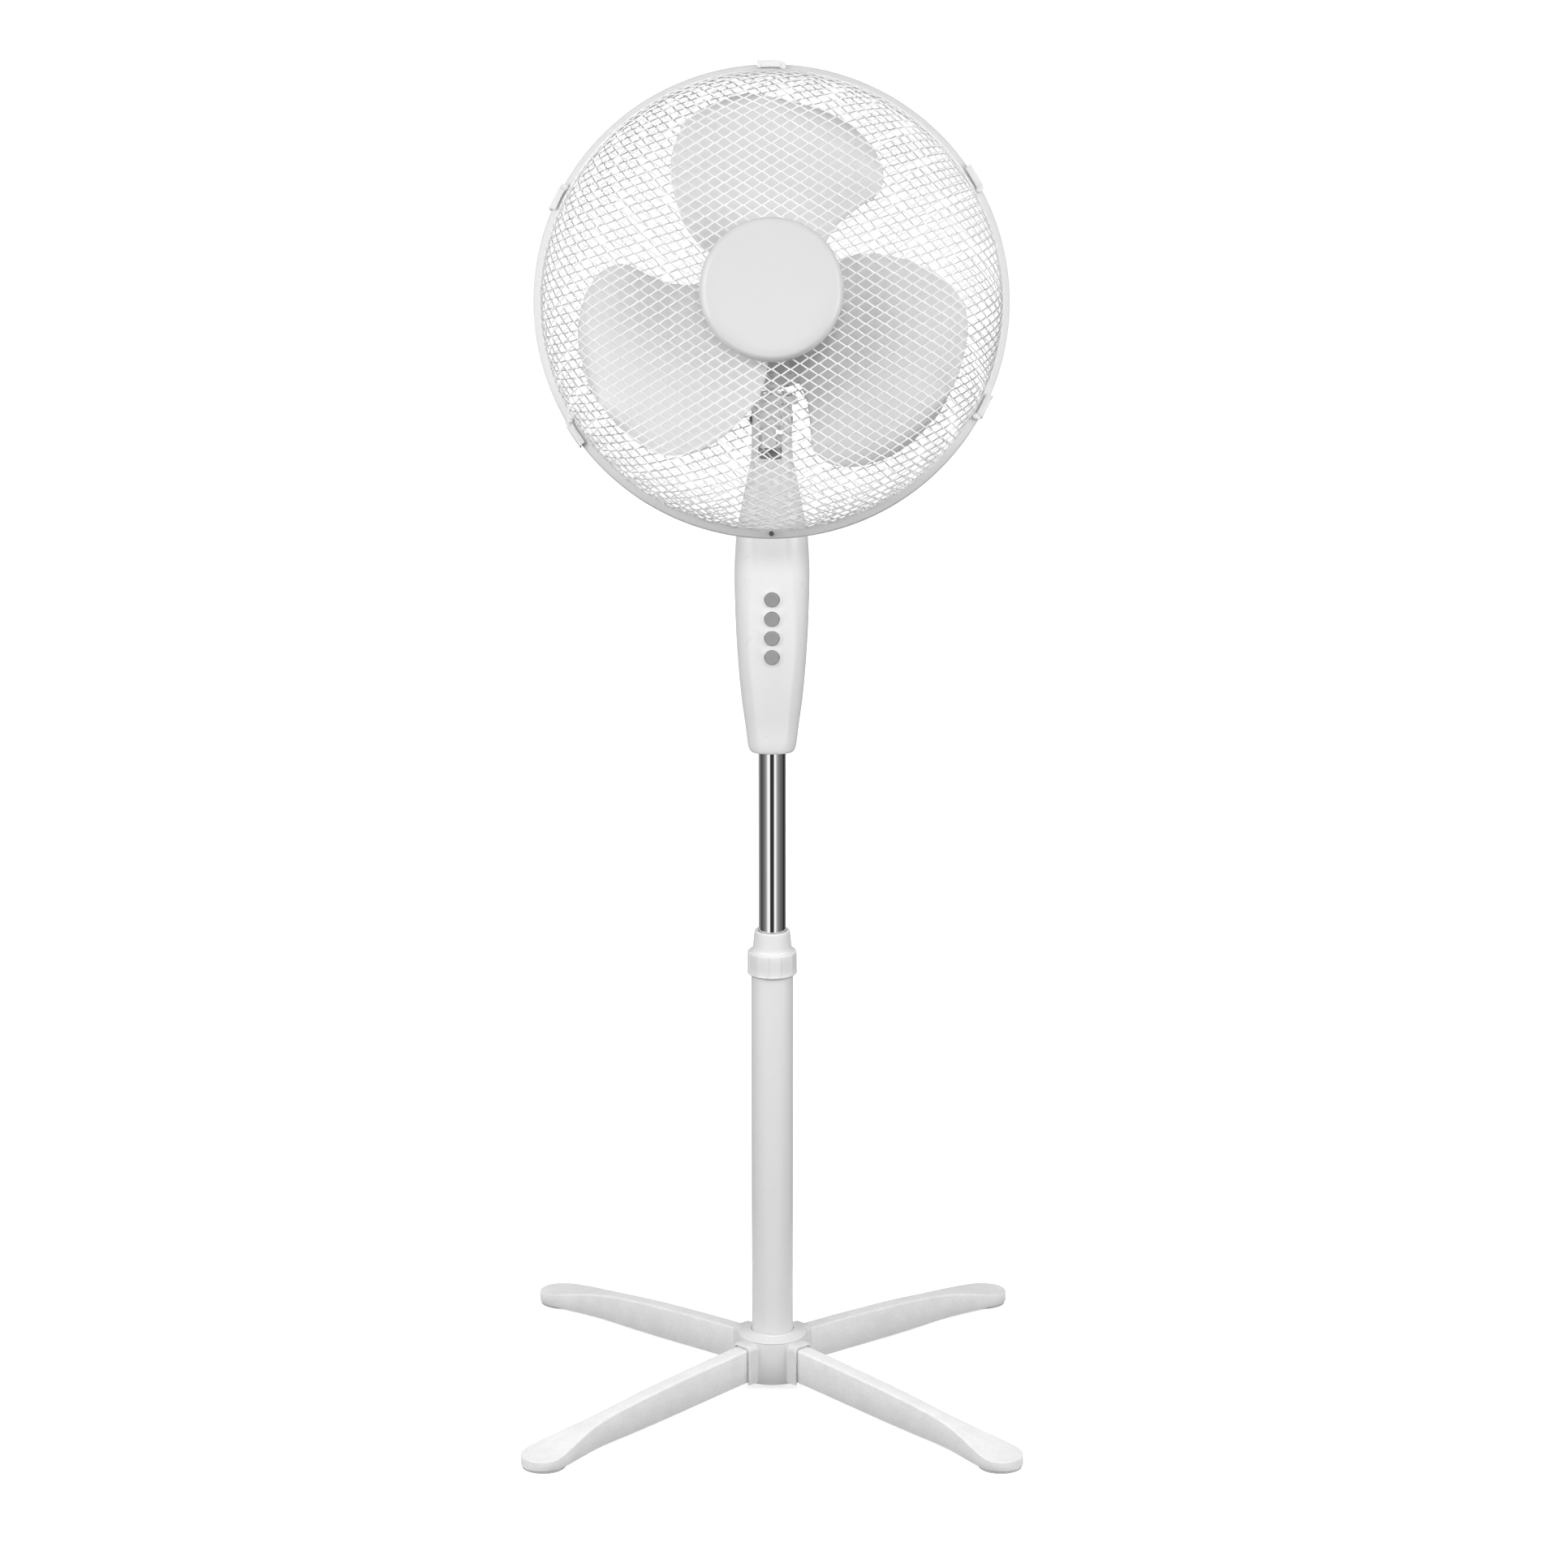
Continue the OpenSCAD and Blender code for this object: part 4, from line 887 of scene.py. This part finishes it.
def strand_runs(s_in, s_out, lattice_turn):
    """Polylines of both strand directions, clipped to the ring from s_in to s_out. Strands run
    side by side for a short way at each knot, as in expanded metal."""
    count = int(s_out / MESH_B) + 2
    ca, sa = math.cos(rad(lattice_turn)), math.sin(rad(lattice_turn))
    runs = []
    for way in (1, -1):
        for c in range(-count, count + 1):
            i = np.arange(-count, count + 1)
            j = way * i + 2 * c
            u = np.stack([i * MESH_A - KNOT, i * MESH_A + KNOT], 1).ravel()
            v = np.repeat(j * MESH_B, 2)
            pts = np.stack([u * ca - v * sa, u * sa + v * ca], 1)
            s = np.hypot(pts[:, 0], pts[:, 1])
            inside = (s > s_in) & (s < s_out)

            def crossing(k, edge):
                return pts[k - 1] + (pts[k] - pts[k - 1]) * ((edge - s[k - 1]) / (s[k] - s[k - 1]))

            run = []
            for k in range(len(pts)):
                if inside[k]:
                    if not run and k:
                        run.append(crossing(k, s_in if s[k - 1] <= s_in else s_out))
                    run.append(pts[k])
                elif run:
                    run.append(crossing(k, s_in if s[k] <= s_in else s_out))
                    if len(run) > 2:
                        runs.append((way, np.array(run)))
                    run = []
            if len(run) > 2:
                runs.append((way, np.array(run)))
    return runs


def guard_mesh(name, node, depth, plane, side, s_in, lattice_turn, leans):
    """Diamond mesh of flat strands. side: 1 for the front guard, -1 for the rear. s_in: radius of
    the round opening in the middle. leans: how far the strands that run down and outwards, and
    those that run up and outwards, turn their flat faces upwards."""
    section = [(-STRAND_W, -STRAND_T), (STRAND_W, -STRAND_T), (STRAND_W, STRAND_T), (-STRAND_W, STRAND_T)]
    verts, faces, base = [], [], 0
    for way, uv in strand_runs(s_in, FLAT_R + shoulder_length(depth), lattice_turn):
        p, normal = dome(uv, depth, plane, side)
        tangent = np.gradient(p, axis=0)
        tangent /= np.linalg.norm(tangent, axis=1)[:, None]
        across = np.cross(normal, tangent) * side
        across /= np.linalg.norm(across, axis=1)[:, None]
        # the lean changes from one side of the guard to the other
        down_out = np.clip(0.5 - way * uv[:, 0] / 140, 0, 1)
        lean = np.radians(leans[0] * down_out + leans[1] * (1 - down_out))[:, None] * side
        wide = across * np.cos(lean) - normal * np.sin(lean)
        thick = normal * np.cos(lean) + across * np.sin(lean)
        ring = np.stack([p + wide * w + thick * h for w, h in section], 1)
        n = len(p)
        verts.append(ring.reshape(-1, 3))
        end = base + 4 * n
        for a in range(base, end - 4, 4):
            faces += band(a, a + 4, 4)
        faces += [(base + 3, base + 2, base + 1, base), (end - 4, end - 3, end - 2, end - 1)]
        base = end
    local = np.concatenate(verts)
    m = np.array(HEAD)
    world = local @ m[:3, :3].T + m[:3, 3]
    me = bpy.data.meshes.new(name)
    me.from_pydata(world.tolist(), [], faces)
    me.update()
    me.materials.append(MESH)
    obj = add_object(name, me)
    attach(obj, "head")
    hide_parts(node)
    return obj


guard_mesh("front_mesh", "front_guard", depth=68.0, plane=-HOOP_Y - 71.7, side=1, s_in=52.0,
           lattice_turn=0.0, leans=(20.0, -55.0))
guard_mesh("rear_mesh", "rear_guard", depth=54.8, plane=-HOOP_Y + 58.6, side=-1, s_in=46.0,
           lattice_turn=-14.0, leans=(15.0, -15.0))

# Angle of each clip's middle, and the angle of its pin from there
CLIPS = {"clip_top": 90, "clip_upper_right": 31, "clip_lower_right": -27, "clip_lower_left": 214,
         "clip_upper_left": 154}
CLIP_HALF = 2.9
hoop_front = fillet([(HOOP_IN, -112.45, 0), (HOOP_IN, -119.4, 0.4), (194.2, -119.8, 0.7),
                     (199.3, -115.0, 2.0), (200.0, -112.75, 0), (199.7, -112.45, 0)], 5)
hoop_rear = fillet([(HOOP_IN, -112.15, 0), (199.7, -112.15, 0), (200.0, -111.85, 0), (199.6, -107.4, 2.5),
                    (197.2, -104.8, 2.5), (HOOP_IN, -104.8, 0.9)], 5)
piece("hoop_front_half", [turned(HEAD @ along(0), hoop_front, 288)], "head", HOOP,
      ("front_hoop",), crease=50,
      cutters=[[disc(HEAD @ along(-125) @ turn(CLIP_HALF - a) @ move(197, 0, 0), 1.4, 0, 30, 24)
                for a in CLIPS.values()]])
piece("hoop_rear_half", [turned(HEAD @ along(0), hoop_rear, 288)], "head", HOOP,
      ("rear_hoop",), crease=50)

cap_outline = [(0, 0), (15, 0.02), (30, 0.09), (42, 0.22), (50, 0.42), (53.5, 0.7), (55.6, 1.2),
               (57.1, 2.0), (58.2, 3.1), (59.0, 4.5), (59.5, 6.2), (59.8, 8.0), (60.0, 10.0),
               (60.0, 12.0), (59.7, 12.4), (58.2, 12.4), (57.6, 8.0), (56.0, 4.6), (53.0, 3.0),
               (0, 2.4)]
# How far the cap's face is ahead of the hoop's joint
CAP_AHEAD = 85.0
piece("cap_shell", [turned(HEAD @ along(-HOOP_Y - CAP_AHEAD), cap_outline, 160, False)], "head", CAP,
      ("hub_cap",), crease=50)


def clip_shape(angle, stud):
    """Clip that hooks over the hoop and turns about a pin at one end, with or without a stud at
    the other."""
    where = HEAD @ along(-HOOP_Y - 9.3) @ turn(-angle)

    def swept(outline, a0, a1, lift):
        rings = []
        for k in range(13):
            a = a0 + (a1 - a0) * k / 12
            c, s, up = math.cos(rad(a)), math.sin(rad(a)), lift(a)
            rings.append([((r + up) * c, (r + up) * s, h) for r, h in outline])
        return skin(where, rings)

    def at(r, a):
        return where @ move(r * math.cos(rad(a)), r * math.sin(rad(a)), 0)

    ell = fillet([(202.0, 0.0, 1.1), (202.0, 16.8, 0.4), (200.4, 16.8, 0.4), (200.4, 1.45, 0.3),
                  (196.4, 1.45, 0.3), (196.4, 0.0, 0.4)], 3)
    tab = fillet([(201.4, 0.0, 0.7), (201.4, 1.45, 0.3), (195.6, 1.45, 0.3), (195.6, 0.0, 0.4)], 3)
    parts = [swept(ell, -3.42, 2.15, lambda a: 0.45 * step(-2.6, -3.42, a)),
             swept(tab, 2.0, 3.2, lambda a: 0.0)]
    pin = [(0, -1.2), (1.2, -1.1), (2.0, -0.75), (2.45, -0.1), (2.55, 0.7), (2.55, 1.9), (1.25, 1.9),
           (1.25, 9), (0, 9)]
    head = [(0, -0.5), (1.2, -0.42), (1.9, -0.15), (2.2, 0.35), (2.25, 1.3), (0, 1.3)]
    parts.append(turned(at(197, CLIP_HALF), pin, 40, False))
    if stud:
        parts.append(turned(at(198, -3.0), head, 40, False))
    return parts


for node, angle in CLIPS.items():
    piece(node + "_shell", clip_shape(angle, node == "clip_top"), node, HOOP, (node,),
          crease=45)

# ---------------------------------------------------------------- impeller
# Inner and outer radius of a blade, how far its leading edge lies behind the trailing one, its bow
BLADE_ROOT, BLADE_TIP, BLADE_DEPTH, BLADE_BOW = 37.6, 169.3, 50, 5
# Radius, angle of the trailing (front) edge, angle of the leading (rear) edge
BLADE_ROWS = [(38, 148, 44), (62, 147, 47), (85, 143.5, 49.5), (107, 137, 47.5), (127, 131, 45.5),
              (142, 126, 48.5), (153, 121, 54.5), (161, 116.5, 62.5), (166, 110, 71.5), (169.3, 97, 86)]


def blade(where):
    """One blade, swept backwards from its front edge, a little bowed, thin at the edges."""
    rows, columns = 46, 34
    grid = []
    for i in range(rows + 1):
        r = BLADE_TIP
        if i < rows:
            r = BLADE_ROOT + (BLADE_TIP - BLADE_ROOT) * math.sin(i / rows * math.pi / 2) ** 1.25
        a1, a0 = curve(BLADE_ROWS, r, 1), curve(BLADE_ROWS, r, 2)
        line = []
        for j in range(columns + 1):
            t = 0.5 - 0.5 * math.cos(math.pi * j / columns)
            a = rad(a0 + (a1 - a0) * t)
            y = -HOOP_Y + 4.3 - BLADE_DEPTH * t - BLADE_BOW * math.sin(math.pi * t)
            # distance from the nearest edge; 57.3 degrees are a radian
            gap = min(min(t, 1 - t) * abs(a1 - a0) / 57.3 * r, (BLADE_TIP - r) * 1.2)
            half = 0.2 + 0.75 * math.sqrt(max(0.0, 1 - (1 - min(1.0, gap / 2.2)) ** 2))
            line.append((r * math.cos(a), y, r * math.sin(a), half))
        grid.append(line)
    rings = []
    for line in grid:
        low = [(x, y - h, z) for x, y, z, h in line]
        high = [(x, y + h, z) for x, y, z, h in reversed(line)]
        rings.append(low + high)
    return skin(where, rings)


bowl = fillet([(4.0, -162.3, 0), (34.0, -162.3, 3), (38.2, -160.6, 3), (41.9, -104.3, 0.6),
               (39.6, -104.3, 0.6), (36.0, -158.3, 3), (9.0, -158.3, 1), (9.0, -120.3, 0.5),
               (4.0, -120.3, 0)])
blades = [blade(HEAD @ turn(-120 * k, "Y")) for k in range(3)]
piece("impeller_shell", [turned(HEAD @ along(0), bowl, 144)] + blades, "rotor", BLADE,
      ("impeller",), crease=60)


def grip_nut(rows, flutes, depth):
    """Nut on the shaft's line with finger hollows round its rim."""
    return fluted(HEAD @ along(0), rows, 144,
                  lambda r, share, a: r - share * depth * max(0.0, math.cos(rad(flutes * a))) ** 2)


impeller_nut = [(4.1, -162.4, 0), (4.1, -175.9, 0), (11.0, -176.3, 0), (12.0, -175.9, 0),
                (12.8, -174.8, 0.6), (15.0, -169.0, 1), (16.4, -164.6, 1), (17.0, -162.9, 0),
                (16.7, -162.4, 0)]
guard_nut = [(20.3, -56.2, 0), (20.3, -66.0, 0), (29.5, -66.0, 0), (30.8, -65.4, 0.6), (31.6, -64.3, 1),
             (32.0, -62.0, 1), (32.0, -58.0, 1), (31.6, -56.5, 0.4), (31.0, -56.2, 0)]
piece("impeller_nut_shell", [grip_nut(impeller_nut, 8, 1.6)], "rotor", WHITE,
      ("impeller_nut",), crease=50)
piece("guard_nut_shell", [grip_nut(guard_nut, 12, 2.0)], "head", WHITE, ("guard_nut",),
      crease=50)

# The neck stands in the shade of the guard, so one lamp lights it and the motor alone
lit = bpy.data.collections.new("neck_fill_group")
for obj in bpy.context.scene.objects:
    if obj.name.startswith(("box_", "motor_", "tilt_", "knob_", "link_", "crank", "gearbox")):
        lit.objects.link(obj)
bpy.data.objects["neck_fill"].light_linking.receiver_collection = lit
bpy.data.objects["neck_fill"].light_linking.blocker_collection = lit
